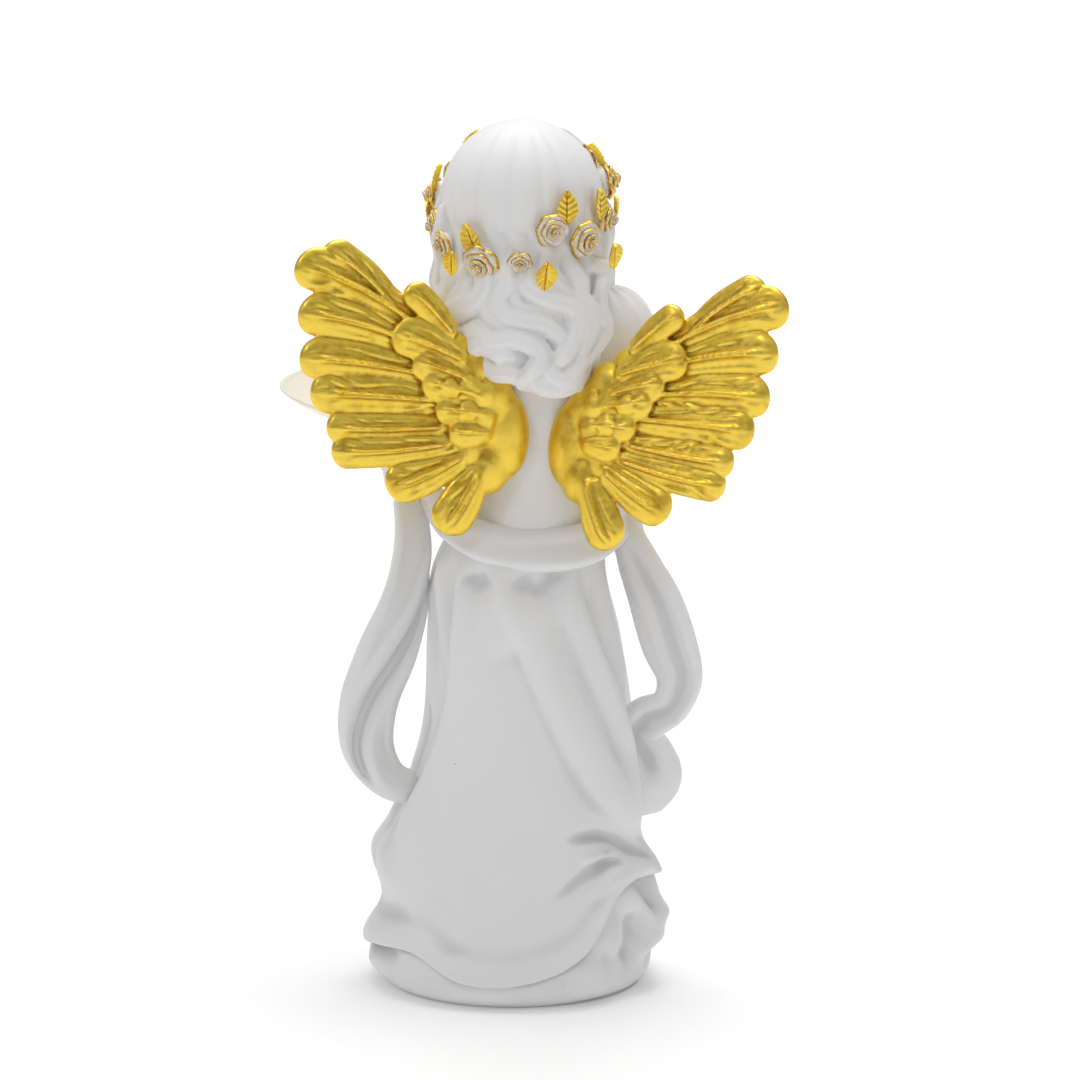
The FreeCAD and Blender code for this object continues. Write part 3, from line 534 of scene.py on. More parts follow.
FOLDS = [
    # the long drapes on both sides of the back panel
    (3.4, 20, 5, [(-38, 128), (-42, 112), (-46, 97), (-48, 86), (-54, 76), (-61, 64), (-68, 51), (-72, 38)]),
    (-2.2, 7, 5, [(-56, 124), (-57, 108), (-60, 94), (-68, 80), (-80, 66)]),
    (1.8, 3.5, 4, [(-68, 128), (-64, 112), (-60, 99), (-57, 88)]),
    (-1.6, 3, 3, [(-52, 127), (-52, 114), (-52, 104)]),
    (2.0, 4, 4, [(-86, 124), (-84, 106), (-82, 92), (-84, 76)]),
    (3.0, 14, 6, [(-14, 128), (-3, 115), (8, 101), (19, 86), (32, 71), (48, 59), (70, 50), (90, 45)]),
    (-1.2, 9, 11, [(-18, 124), (-4, 98), (10, 80), (24, 66), (42, 54)]),
    (-1.6, 6, 6, [(18, 116), (28, 99), (42, 84), (58, 71), (76, 61)]),
    (2.8, 6, 7, [(33, 124), (44, 108), (54, 95), (65, 83), (73, 66), (80, 54)]),
    (-1.8, 4, 4, [(52, 122), (60, 106), (70, 92), (80, 80)]),
    (2.2, 4, 5, [(68, 128), (74, 112), (82, 98), (88, 82)]),
    (1.8, 7, 7, [(-13, 130), (-13, 118), (-10, 98)]),
    # shadowed scoops under the swag
    (-2.6, 6, 6, [(-34, 124), (-28, 120), (-20, 124)]),
    (-2.6, 7, 6, [(-3, 124), (8, 119), (20, 120), (30, 126)]),
    # the two pinched creases towards the right of the hem
    (-4.4, 2.6, 3.4, [(21, 49), (34, 48.5), (50, 46), (66, 41), (84, 35)]),
    (3.4, 5, 3, [(26, 45), (42, 44), (58, 41), (74, 36), (86, 33)]),
    (-2.6, 3, 6, [(13, 31), (26, 37), (42, 41), (56, 40.5), (72, 36)]),
    (2.6, 3, 3.5, [(32, 32), (44, 37.2), (56, 38.2), (72, 36)]),
    # where the panel spreads to the left corner of the hem
    (-1.8, 8, 9, [(-46, 26), (-62, 24), (-80, 24), (-108, 26)]),
    (2.4, 9, 9, [(-62, 40), (-84, 38), (-108, 40)]),
    (0.9, 5, 9, [(-46, 18), (-66, 15.5), (-86, 13.4), (-112, 16)]),
    (-1.2, 9, 9, [(-36, 36), (-30, 24), (-24, 12)]),
    # the front, which falls in four long pleats
    (3.0, 7, 7, [(112, 126), (108, 96), (112, 62), (116, 30)]),
    (-2.6, 6, 6, [(128, 128), (126, 90), (130, 50), (132, 26)]),
    (3.4, 8, 8, [(148, 126), (146, 90), (150, 50), (152, 18)]),
    (-3.0, 6, 7, [(166, 128), (166, 90), (168, 45), (168, 16)]),
    (3.6, 8, 8, [(184, 128), (186, 90), (186, 45), (186, 14)]),
    (-2.8, 6, 6, [(204, 126), (206, 90), (208, 50), (208, 18)]),
    (3.2, 7, 8, [(224, 126), (226, 90), (228, 50), (230, 16)]),
    (-2.6, 6, 6, [(242, 124), (246, 90), (246, 50), (246, 20)]),
    (2.6, 6, 6, [(258, 124), (260, 90), (262, 50), (262, 22)]),
    # the torso: soft gathers below the arms and the crossed bodice in front
    (-0.8, 5, 5, [(-4, 182), (-5, 168), (-6, 152)]), (0.5, 5, 5, [(-26, 176), (-24, 160), (-20, 148)]),
    (1.6, 3, 3, [(118, 190), (140, 176), (164, 162), (190, 150), (214, 142)]),
    (1.6, 3, 3, [(242, 190), (220, 176), (196, 162), (170, 150), (146, 142)]),
    (-1.4, 3, 3, [(128, 190), (148, 174), (170, 160)]), (-1.4, 3, 3, [(232, 190), (212, 174), (190, 160)]),
]
HEM = np.array([
    (-90, 13), (-78, 13.5), (-66, 15), (-52, 16), (-44, 16), (-37, 14.5), (-31, 11.5), (-25, 9),
    (-17, 7.8), (-5, 7.8), (8, 9.5), (18, 12), (26, 15.5), (32, 20), (36.5, 25), (41, 30), (47, 33.6),
    (56, 35.4), (68, 35), (80, 34.5), (90, 33.5), (102, 31), (118, 25), (135, 18), (152, 12), (180, 9.5),
    (210, 9), (235, 11), (255, 13), (270, 13)])


def make_skirt():
    """The outer layer of the robe with the torso in one skin, and its rolled hem."""
    bearing = np.linspace(-90, 270, 441)[:-1]
    hem = np.interp(bearing, HEM[:, 0], HEM[:, 1])
    for _ in range(3):
        hem = (np.roll(hem, 2) + np.roll(hem, -2) + hem * 2) / 4
    t = np.linspace(0, 1, 200)[:, None] ** 1.05
    height = hem + (207 - hem) * t
    around = bearing + np.zeros_like(height)
    push = softened(fold_field(around, height, FOLDS), 3)
    above = height - hem
    push += 1.7 * np.exp(-(above / 5.5) ** 2) - 0.9 * np.exp(-((above - 8) / 5) ** 2)
    uneven = ramp(above, 4, 20) * (1 - ramp(height, 120, 140))
    push += 0.5 * noise_wave(around * 0.09, height * 0.05, 4) * uneven
    push *= 1 - ramp(height, 190, 198)
    skin = wrap(around, height, push)
    rolls = []
    for angle in np.radians(np.linspace(-75, 90, 6)):
        rolls.append(wrap(bearing, hem - 0.7 * math.cos(angle), push[0] - 0.7 - 0.7 * math.sin(angle)))
    for row, shrink in ((3, 1.8), (9, 3.2), (18, 9.0)):
        rolls.append(wrap(bearing, height[row], np.minimum(push[0], push[row]) - shrink))
    points = np.concatenate([np.array(rolls)[::-1], skin])
    return finish_piece(mesh_object("robe_and_torso", closed_grid(points), "white_resin"),
                        ["robe_casting"])


UNDER_FOLDS = [
    (3.2, 6, 7, [(46, 36), (56, 29), (66, 22), (78, 16)]), (-3.2, 5, 5, [(50, 10), (54, 18), (56, 27)]),
    (2.6, 5, 6, [(88, 36), (88, 28), (88, 22), (86, 17)]), (-2.8, 4, 4, [(72, 35), (76, 27), (80, 20)]),
    (2.8, 4, 6, [(94, 22), (84, 18), (70, 15), (56, 13)]), (-2.6, 5, 5, [(94, 11), (82, 9), (68, 8)]),
    (2.0, 8, 8, [(46, 4), (34, 8), (20, 8)]), (-1.6, 6, 6, [(60, 9), (44, 12), (32, 13)]),
    (2.4, 7, 7, [(-92, 6), (-72, 8), (-54, 9)]), (-2.2, 5, 5, [(-84, 12), (-66, 13), (-50, 13)]),
    (1.4, 9, 9, [(-34, 4), (-14, 6), (6, 5)]),
    (2.5, 8, 8, [(120, 4), (118, 14), (120, 26)]), (2.5, 8, 8, [(150, 4), (152, 12), (150, 18)]),
    (2.5, 8, 8, [(190, 4), (188, 10), (190, 14)]), (2.5, 8, 8, [(230, 4), (226, 10), (228, 14)]),
    (-2.0, 7, 7, [(136, 4), (134, 14), (136, 22)]), (-2.0, 7, 7, [(170, 4), (170, 12), (168, 16)]),
]


def make_pool():
    """The under layer, pooled round the base."""
    bearing = np.linspace(-90, 270, 401)[:-1]
    height = np.concatenate([np.linspace(0.25, 3, 9), np.linspace(3.6, 44, 74)])[:, None] + 0 * bearing
    around = bearing + 0 * height
    flare = np.interp(height, [0.25, 1.5, 4, 10, 20, 28, 44], [-1.2, 0, 0.4, 0.2, -0.8, -2.2, -4.5])
    flare = flare - 5.0 * ramp(height - np.interp(bearing, HEM[:, 0], HEM[:, 1]), -2.5, 5)
    push = flare + softened(fold_field(around, height, UNDER_FOLDS), 5) * ramp(height, 0.6, 5)
    push += 0.5 * noise_wave(around * 0.16, height * 0.12, 9) * ramp(height, 0.6, 4)
    return finish_piece(
        mesh_object("robe_pool", closed_grid(wrap(around, height, push)), "white_resin"),
        ["robe_casting"])


SWAG = [
    ((26, -1, 147), 2.2, 2.6), ((22, 6, 141), 3.6, 2.8), ((17, 11, 135.6), 4.8, 3.0),
    ((6, 15, 130.8), 6.0, 3.3), ((-7, 16.4, 129.4), 6.4, 3.5), ((-20, 14, 131), 6.0, 3.3),
    ((-29, 7, 136), 4.8, 3.0), ((-34, 0, 142), 3.4, 2.6)]


def make_swag():
    """The stole where it crosses the back of the waist: a deep soft U, rolled at its lower edge."""
    path = spline([row[0] for row in SWAG], 120)
    width = spline([[row[1]] for row in SWAG], 120)[:, 0]
    thickness = spline([[row[2]] for row in SWAG], 120)[:, 0]
    centre = np.array([body_at(z)[2:] for z in path[:, 2]])
    out = unit(np.concatenate([path[:, :2] - centre, np.zeros((120, 1))], 1))
    tangent = unit(np.gradient(path, axis=0))
    wide = unit(np.cross(out, tangent) - out * 0.3)
    angle = np.linspace(0, 2 * math.pi, 72, endpoint=False)[None]
    t = np.linspace(0, 1, 120)[:, None]
    across = np.cos(angle)
    through = np.sin(angle) * (1 + 0.55 * ramp(-across, 0.2, 0.9))
    ripple = 0.22 * np.sin(2.6 * across + 4 * t + 0.8) + 0.1 * np.sin(5.5 * across - 4 * t)
    through = through + ripple * (1 - across**2) * np.sign(np.sin(angle) + 1e-9)
    points = path[:, None] + (across * width[:, None])[..., None] * wide[:, None]
    points = points + (through * thickness[:, None])[..., None] * out[:, None]
    return finish_piece(mesh_object("robe_swag", closed_grid(points), "white_resin"),
                        ["robe_casting"])


# ------------------------------------------------------------------ the free lengths of the stole

# Each station: centre, half width, half thickness and the way it is wide.
STOLES = {
    "left": [
        ((31, 1, 146), 6.0, 3.2, (0.5, 0.9, 0.0)), ((29.5, 4, 134), 6.5, 3.2, (0.6, 0.8, 0.0)),
        ((30, 6, 124), 7.0, 3.2, (0.7, 0.7, 0.0)), ((32, 7, 112), 9.0, 3.2, (0.8, 0.6, 0.0)),
        ((37, 8, 98), 9.9, 3.2, (0.9, 0.4, -0.1)), ((42, 8, 84), 9.2, 3.0, (0.9, 0.3, 0.0)),
        ((42.5, 7, 71), 8.0, 3.0, (0.9, 0.2, -0.3)), ((37, 6, 61), 6.0, 3.0, (0.6, 0.2, -0.75)),
        ((28, 5, 57), 4.8, 2.8, (0.3, 0.2, -0.9)),],
    "right": [
        ((-33, 1, 145), 6.0, 3.2, (0.5, -0.9, 0.0)), ((-32, 3, 133), 7.5, 3.2, (0.6, -0.8, 0.0)),
        ((-35, 5, 124), 8.6, 3.4, (0.75, -0.65, 0.0)), ((-40, 7, 113), 9.4, 3.3, (0.85, -0.5, 0.0)),
        ((-44, 8, 101), 9.0, 3.2, (0.92, -0.35, 0.0)), ((-47, 8, 91), 7.0, 3.2, (0.95, -0.15, 0.15)),
        ((-44.5, 7, 82.5), 5.8, 3.0, (0.75, -0.1, 0.6)), ((-38, 4, 78), 6.8, 3.0, (0.5, 0.0, 0.85)),
        ((-34.5, 3, 73), 7.0, 3.2, (0.95, 0.1, 0.1)), ((-38.5, 2, 66), 8.0, 3.4, (0.9, 0.2, -0.4)),
        ((-40, 1, 58.5), 8.4, 4.2, (0.95, 0.2, 0.1)), ((-33.5, 0, 48.5), 6.4, 4.6, (0.8, 0.3, 0.4)),]}


def make_stole(word):
    """A free length of the stole: thick cloth with a long valley and a rolled edge, narrowed at both ends."""
    rows = STOLES[word]
    steps = 170
    path = spline([row[0] for row in rows], steps)
    width = spline([[row[1]] for row in rows], steps)
    thickness = spline([[row[2]] for row in rows], steps)
    hints = unit(spline([row[3] for row in rows], steps))
    tangent = unit(np.gradient(path, axis=0))
    wide = unit(hints - tangent * np.sum(hints * tangent, -1, keepdims=True))
    thin = np.cross(tangent, wide)
    if word == "right":
        thin = -thin
    t = np.linspace(0, 1, steps)[:, None]
    close = np.sqrt(np.clip(t / 0.05, 0.01, 1)) * np.sqrt(np.clip((1 - t) / 0.04, 0.05, 1))
    angle = np.linspace(0, 2 * math.pi, 64, endpoint=False)[None]
    across = np.cos(angle)
    if word == "left":
        drift, deep, broad = across + 1.0 - 3.4 * (t - 0.33), 0.95, 0.3
    else:
        drift, deep, broad = across + 0.35 - 0.5 * t, 0.55, 0.4
    valley = -deep * np.exp(-(drift / broad) ** 2) + 0.4 * np.exp(-((drift - 0.55) / 0.26) ** 2)
    valley = valley + 0.25 * np.exp(-((drift + 0.55) / 0.26) ** 2)
    rolled = 0.3 * np.exp(-((np.abs(across) - 0.82) / 0.16) ** 2)
    free = ramp(t, 0.02, 0.25) * (1 - ramp(t, 0.8, 0.92))
    shape = (valley + rolled - 0.15) * np.sqrt(np.clip(1 - across**2, 0, 1)) * free
    curl = 0.5 * np.sin(2.2 * across + 4.0 * t + (0 if word == "left" else 2))
    face = np.sign(np.sin(angle) + 1e-9)
    through = np.sin(angle) * (1.0 - 0.15 * across**2) + face * shape * 1.1 + 0.6 * curl
    points = path[:, None] + (across * width * close * 0.98)[..., None] * wide[:, None]
    points = points + (through * thickness * close * 0.85)[..., None] * thin[:, None]
    return finish_piece(
        mesh_object(f"{word}_stole", closed_grid(points), "white_resin"),
        [f"{word}_stole_casting"])


# ------------------------------------------------------------------ wings

REACH, FEATHER_WIDTH = 65.0, 5.8
WINGS = {"left": (1, (1.5, 14.5, 166), 0, 18), "right": (-1, (-15.5, 14.5, 164), -9, 28)}
# Start and tip, out and up as shares of the reach; half width as a share; how far back it stands.
FEATHERS = [
    ((0.48, 0.44), (0.84, 0.775), 0.84, -1.4), ((0.42, 0.42), (0.97, 0.715), 1.1, -1.0),
    ((0.42, 0.34), (0.965, 0.505), 1.06, -0.6), ((0.40, 0.22), (0.965, 0.31), 1.02, -0.2),
    ((0.30, 0.10), (0.92, 0.16), 1.02, 0.2), ((0.30, -0.01), (0.85, 0.005), 0.78, 0.6),
    ((0.28, -0.08), (0.83, -0.10), 0.84, 1.0), ((0.22, -0.13), (0.58, -0.27), 1.05, 1.4),
    ((0.15, -0.20), (0.33, -0.47), 1.14, 1.8)]
FEATHER_BENDS = (0.10, 0.09, 0.08, 0.05, 0.02, -0.02, -0.04, -0.06, -0.05)
COVERTS = [
    ((0.27, 0.38), (0.48, 0.60), 0.72, 1.7), ((0.22, 0.27), (0.55, 0.41), 1.0, 2.2),
    ((0.16, 0.17), (0.46, 0.29), 0.92, 2.5), ((0.12, 0.10), (0.42, 0.20), 0.84, 2.9),
    ((0.12, 0.04), (0.36, 0.07), 0.8, 3.0), ((0.10, -0.04), (0.30, -0.03), 0.86, 3.1)]
NUBS = [
    ((0.20, 0.16), 0.5), ((0.13, 0.12), 0.62), ((0.29, 0.15), 0.5), ((0.21, 0.05), 0.55),
    ((0.12, 0.02), 0.5)]


# The fleshy root of the wing: where each lump is, its breadth and height, and half its thickness.
ROOT_LUMPS = [
    ((0.02, -0.06), (12, 21), 4.2), ((0.09, 0.10), (12, 13.5), 4.4), ((0.17, 0.24), (11, 9), 3.6),
    ((0.26, 0.34), (9, 6), 3.0), ((0.10, -0.20), (11, 13), 3.8), ((0.20, 0.02), (14, 13), 3.2),
    ((0.21, -0.13), (13, 9), 3.0)]
# How much of its full breadth each wing has.
WING_BREADTHS = {"left": 0.965, "right": 0.935}


def wing_axes(word):
    side, root, roll, sweep_back = WINGS[word]
    behind = Matrix(((-1, 0, 0), (0, 0, 1), (0, 1, 0)))
    rolled = Matrix.Rotation(math.radians(-side * roll), 3, "Z")
    swept = Matrix.Rotation(math.radians(side * sweep_back), 3, "Y")
    return np.array(behind @ rolled @ swept).T, np.array(root, float), side


def feather(start, tip, half_width, thickness, lift, seed, barbs=True, bend=0.1):
    """One feather lying in the wing's plane: a thick rounded blade with a double shaft down its middle and
    slanting grooves on both sides of it."""
    source = np.random.default_rng(seed)
    start, tip = np.asarray(start) * REACH, np.asarray(tip) * REACH
    length = np.linalg.norm(tip - start)
    along = (tip - start) / length
    aside = np.array([-along[1], along[0]])
    rows, columns = 110, 72
    s = (1 - np.cos(np.linspace(0.02, math.pi - 0.02, rows))) / 2
    s = s[:, None] * 0.55 + np.linspace(0.001, 0.999, rows)[:, None] * 0.45
    end = np.sqrt(np.clip(1 - np.clip((s * length - (length - half_width)) / half_width, 0, 1) ** 2.3, 0, 1))
    plan = half_width * (0.72 + 0.28 * ramp(s, 0.0, 0.6)) * end * (1 - 0.5 * (1 - ramp(s, 0, 0.08)))
    angle = np.linspace(0, 2 * math.pi, columns, endpoint=False)[None]
    across, upward = np.cos(angle), np.sin(angle)
    curve = bend * length * np.sin(math.pi * s) * 0.5
    depth = np.abs(upward) ** 0.8 * np.sign(upward) * thickness / 2 * (0.25 + 0.75 * end)
    detail = 0
    if barbs:
        face = ramp(upward, 0.05, 0.5) * ramp(s, 0.02, 0.12) * ramp(end, 0.25, 0.8)
        offset = np.abs(across)
        shaft = np.exp(-((offset - 0.085) / 0.055) ** 2) * 0.85 * (1 - ramp(s, 0.72, 0.94))
        shaft += np.exp(-(offset / 0.2) ** 2) * 0.35 * (1 - ramp(s, 0.8, 0.97))
        slant = s * length / half_width - offset * 3.6
        wobble = noise_wave(s * length * 0.3, across * 2.0 + 7 * np.sign(across), seed)
        patchy = ramp(noise_wave(s * length * 0.22, across * 1.6 + 3 * np.sign(across), seed + 5), -0.5, 0.7)
        grooves = np.sin(slant * (3.4 + 0.5 * np.sign(across)) + 2.6 * wobble + source.uniform(0, 6))
        strength = ramp(offset, 0.12, 0.4) * (1 - ramp(offset, 0.8, 1.0)) * patchy * (1 - ramp(s, 0.8, 0.97))
        detail = face * (shaft + 0.2 * grooves * strength - 0.12 * np.exp(-((offset - 0.24) / 0.07) ** 2))
        detail = detail + face * 0.07 * wobble
        long_cut = np.exp(-((across - 0.45 - 0.1 * wobble) / 0.06) ** 2)
        long_cut = long_cut + np.exp(-((across + 0.5) / 0.06) ** 2)
        detail = detail - face * 0.3 * long_cut * (1 - ramp(s, 0.55, 0.9))
    x = start[0] + along[0] * s * length + aside[0] * (across * plan + curve)
    y = start[1] + along[1] * s * length + aside[1] * (across * plan + curve)
    z = lift + depth + detail * thickness / 3.2 - 0.5 * across**2 * ramp(-upward, 0, 1) + 0 * s
    return np.stack(np.broadcast_arrays(x, y, z), -1)


def in_wing(points, word):
    axes, root, side = wing_axes(word)
    flat = points * np.array([-side * WING_BREADTHS[word], 1.0, 1.0])
    return flat @ axes + root


def make_wing(word):
    """A wing: its long feathers, its root, and the small feathers that cover the quills."""
    side = WINGS[word][0]
    shells = []
    first_seed = 20 if side > 0 else 60
    for number, ((start, tip, share, lift), bend) in enumerate(zip(FEATHERS, FEATHER_BENDS)):
        shells.append(feather(start, tip, FEATHER_WIDTH * share, 4.4, lift, first_seed + number, bend=bend))
    for number, (start, tip, share, lift) in enumerate(COVERTS):
        shells.append(feather(start, tip, FEATHER_WIDTH * share, 3.6, lift, 60 + number, bend=0.05))
    for number, ((out, up), share) in enumerate(NUBS):
        start, tip = (out - 0.03, up - 0.012), (out + 0.05, up + 0.02)
        shells.append(feather(start, tip, FEATHER_WIDTH * share, 2.4, 4.3, 80 + number, barbs=False))
    fan = [closed_grid(in_wing(points, word)) for points in shells]
    for (out, up), (wide, tall), thick in ROOT_LUMPS:
        local = ellipsoid((0, 0, 0), (wide * 0.62, tall * 0.62, thick))[0]
        fan.append(outward(in_wing(local + np.array([out * REACH, up * REACH, 0.3]), word),
                           ellipsoid((0, 0, 0), (1, 1, 1))[1]))
    made = cast_as_one(f"{word}_wing", fan, 0.36, 2, "wing_gold")
    points, edges = mesh_arrays(made.data)
    axes, origin, _ = wing_axes(word)
    local = (points / MM - origin) @ axes.T * np.array([-side, 1, 1]) / REACH
    smooth = (1 - ramp(local[:, 0], 0.10, 0.24))[:, None]
    points = points + (relaxed(points, edges, 40, 0.7) - points) * smooth
    made.data.vertices.foreach_set("co", points.ravel())
    return finish_piece(made, [f"{word}_wing_casting"], 10)


# ------------------------------------------------------------------ head

HEAD = np.array([-2.0, -2.0, 226.6])
CROWN_RADII = np.array([23, 24.15, 23.35])
FACE = np.array([-3.5, -11.0, 215.1])
FACE_RADII = np.array([16.4, 15.6, 18.2])
# The mass of hair below the wreath: height, half width, half depth, and its middle.
HAIR = spline([
    (228, 21.6, 20.6, -2.0, -1.0), (217, 22.2, 20.4, -2.3, 0), (207, 22.4, 18.3, -2.7, 2.1),
    (197, 21.3, 14.2, -3.3, 6.6), (188, 19.2, 10.8, -4.4, 11.2), (180, 14.2, 8.0, -7.5, 14.2),
    (174.5, 7.5, 4.8, -11.5, 15.6)], 200)[::-1]


def hair_spot(across, height, out=0.0):
    """A point on the back of the hair at a width and a height, and the way out of the hair there."""
    height = np.clip(np.asarray(height, float), 175, 246)
    a, b, x, y = (np.interp(height, HAIR[:, 0], HAIR[:, k]) for k in range(1, 5))
    share = np.clip((across - x) / a, -0.97, 0.97)
    depth = y + b * np.sqrt(1 - share**2)
    normal = unit(np.stack([share / a, np.sqrt(1 - share**2) / b, 0 * share + 0.004], -1))
    spot = np.stack([x + a * share, depth, height], -1)
    return spot + normal * np.asarray(out)[..., None], normal


# Each lock on the back of the head: half width, half thickness, how far out it stands, and its path across
# and up.
BACK_LOCKS = [
    (3.4, 2.8, 0.4, [(9, 213), (7.2, 206), (9.6, 201), (14.5, 198), (18.3, 195.5), (19.6, 192)]),
    (3.2, 2.6, 0.0, [(12.5, 209), (12.4, 204), (14.8, 200.5), (18, 197.5), (19.4, 194)]),
    (2.8, 2.8, 0.6, [(17.5, 210), (16.2, 206), (17.4, 202), (19.6, 198), (19.3, 193)]),
    (3.2, 2.6, 0.2, [(5, 212), (4.4, 206), (6.4, 202), (6.2, 197.5), (2.5, 194.5), (-3, 193), (-8, 190)]),
    (3.0, 2.8, 0.7, [(1.5, 212), (1.2, 206), (3.4, 201.5), (1.6, 197), (-3.5, 195.3), (-8.5, 194),
                     (-12.6, 189.5), (-11.5, 183)]),
    (3.2, 3.0, 0.7, [(-3.5, 210), (-4.3, 204.5), (-9.5, 201.3), (-15, 198.8), (-19, 193.5), (-18, 187),
                     (-15, 181)]),
    (3.0, 2.8, 0.3, [(-9, 212), (-9.4, 207), (-12.5, 202.6), (-17, 199.5), (-21, 194.5), (-20.5, 188.5),
                     (-17, 182.5)]),
    (2.8, 2.8, 0.9, [(-15, 211), (-16.8, 206), (-17, 201), (-20, 197), (-23, 192.5), (-21.5, 187),
                     (-18.5, 182)]),
    (2.2, 2.4, 1.2, [(-21, 210), (-23.8, 207.4), (-22, 202.5), (-22.3, 197), (-24, 191), (-22.5, 186.5)]),
    (2.6, 2.6, 1.2, [(18.6, 191.8), (13.5, 190.8), (9, 192.6), (5.2, 190), (0, 190.5), (-5.5, 188.2),
                     (-7.4, 184.6), (-5, 181), (-2.4, 177.6), (-4.2, 175.6)]),
    (2.8, 2.4, 0.6, [(17.5, 190.6), (13.6, 186.6), (8, 188.6), (3.4, 186.4), (-0.5, 184.8)]),
    (2.8, 2.4, 0.0, [(14.6, 188), (10.6, 183.6), (5.4, 181), (0, 180.6), (-3.4, 179)]),
    (3.2, 2.4, 0.2, [(-3.5, 181), (-7, 178.2), (-12, 177.2), (-16, 179), (-19.5, 184)]),
    (2.6, 2.6, 0.8, [(-13, 200), (-16, 195.5), (-15.8, 190), (-13, 185), (-9, 181.5)]),
    (2.0, 2.4, 0.4, [(0, 203), (-1.6, 199.4), (-6, 197.6), (-10.5, 196), (-13.6, 191)]),
    (2.6, 2.2, 0.8, [(-6, 186), (-9.5, 181.5), (-13, 179), (-16.5, 181.5), (-20.5, 187)]),
]
# Locks at the sides and in front: half width, half thickness, path.
LOOSE_LOCKS = [
    (3.4, 3.0, [(19, -8, 232), (20.5, -8, 222), (18.8, -9.5, 214), (20.6, -9, 207), (17.8, -9, 200),
                (18.4, -7, 194), (15.8, -5, 190)]),
    (3.4, 3.0, [(20.4, -2, 230), (21.4, -1, 219), (20.2, -2, 211), (21.6, -1, 204), (19.4, 0, 198),
                (19.6, 3, 192)]),
    (3.2, 2.8, [(20.5, 5, 226), (20.6, 5, 216), (19.8, 6, 209), (20.8, 7, 203), (18.8, 9, 197)]),
    (3.4, 3.0, [(-23, -8, 232), (-24.6, -8, 222), (-23, -9.5, 214), (-24.8, -9, 207), (-22, -9, 200),
                (-22.6, -7, 194), (-20, -6, 190)]),
    (3.4, 3.0, [(-24.4, -2, 230), (-25.6, -1, 219), (-24.4, -2, 211), (-25.6, -1, 204), (-23.4, 0, 198),
                (-23.8, 3, 192)]),
    (3.2, 2.8, [(-24.4, 5, 226), (-24.6, 5, 216), (-23.6, 6, 209), (-24.4, 7, 203), (-22.6, 9, 197)]),
    (4.6, 2.4, [(-3.4, -19, 246), (2.5, -25, 237.5), (9.5, -24.5, 230.5), (14.4, -19, 222),
                (15.2, -15, 213)]),
    (4.2, 2.4, [(-2, -12, 247.4), (6, -20, 242.3), (14, -20, 235), (18.4, -14, 225), (18, -11, 214)]),
    (4.6, 2.4, [(-3.6, -19, 246), (-9.5, -25, 237.5), (-16.5, -24.5, 230.5), (-21.4, -19, 222),
                (-22.2, -15, 213)]),
    (4.2, 2.4, [(-5, -12, 247.4), (-13, -20, 242.3), (-21, -20, 235), (-24.4, -14, 225), (-24.6, -11, 214)]),
    (2.6, 2.0, [(-3.4, -22, 240.5), (-6.5, -25.4, 236.5), (-11.5, -26, 231.5), (-15.6, -23.5, 226.5)]),
]


def make_hair():
    """The smooth crown, the rippled mass below the wreath, and the locks over it."""
    shells = []
    latitude = np.linspace(-1.35, 1.56, 110)[:, None]
    longitude = np.linspace(0, 2 * math.pi, 240, endpoint=False)[None]
    way = np.stack([np.cos(latitude) * np.cos(longitude), np.cos(latitude) * np.sin(longitude),
                    np.sin(latitude) + 0 * longitude], -1)
    pattern = np.sin(longitude * 17 + 0.9 * np.sin(longitude * 3)) + 0.6 * np.sin(longitude * 29 + 1.3)
    depth = np.minimum(pattern, 0.2) * 0.34 * (1 - ramp(latitude, 0.75, 1.25))
    crown = HEAD + way * (CROWN_RADII + depth[..., None])
    shells.append(closed_grid(crown))
    angle = np.linspace(0, 2 * math.pi, 160, endpoint=False)[None]
    rows = HAIR[::3]
    ripple = 1.0 + 0.55 * np.sin(angle * 22 + 2.4 * np.sin(rows[:, :1] * 0.26))
    height, half_width, half_depth, x, y = (rows[:, k:k + 1] for k in range(5))
    mass = np.stack([x + (half_width + ripple) * np.cos(angle), y + (half_depth + ripple) * np.sin(angle),
                     height + 0 * angle], -1)
    mass[..., 1] = np.maximum(mass[..., 1], -9 + 11 * ramp(-rows[:, :1], -218, -196))
    shells.append(closed_grid(mass))
    for half_width, half_thick, out, path in BACK_LOCKS:
        first, second = np.array(path[0]), np.array(path[1])
        if first[1] > 200:
            path = [tuple(first + (first - second) * (0.35, 1) + (0, 1.5)), *path]
        path = spline(path, 70)
        t = np.linspace(0, 1, 70)
        rising = 2.8 * (1 - ramp(t, 0.0, 0.3)) if first[1] > 200 else 0.8 * (1 - ramp(t, 0, 0.2))
        spots, normals = hair_spot(path[:, 0], path[:, 1], out + 0.9 - rising)
        taper = ramp(t, -0.2, 0.35) * (1 - 0.62 * ramp(t, 0.7, 1.0))
        wide = np.cross(unit(np.gradient(spots, axis=0)), normals)
        width, thickness = half_width * 1.2 * taper, half_thick * 1.1 * taper
        shells.append(sweep(spots, width, thickness, wide, 36, 7, 0.085, drift=0.5))
    for half_width, half_thick, path in LOOSE_LOCKS:
        spots = spline(path, 70)
        t = np.linspace(0, 1, 70)
        taper = ramp(t, -0.15, 0.25) * (1 - 0.7 * ramp(t, 0.6, 1.0))
        away = unit(spots - np.array([-3, -2, 214]) * [1, 1, 0] - spots * [0, 0, 1])
        wide = np.cross(unit(np.gradient(spots, axis=0)), away)
        shells.append(sweep(spots, half_width * taper, half_thick * taper, wide, 30, 7, 0.08, drift=0.5))
    return finish_piece(cast_as_one("hair", shells, 0.52, 2, "white_resin"), ["head_casting"],
                        7)


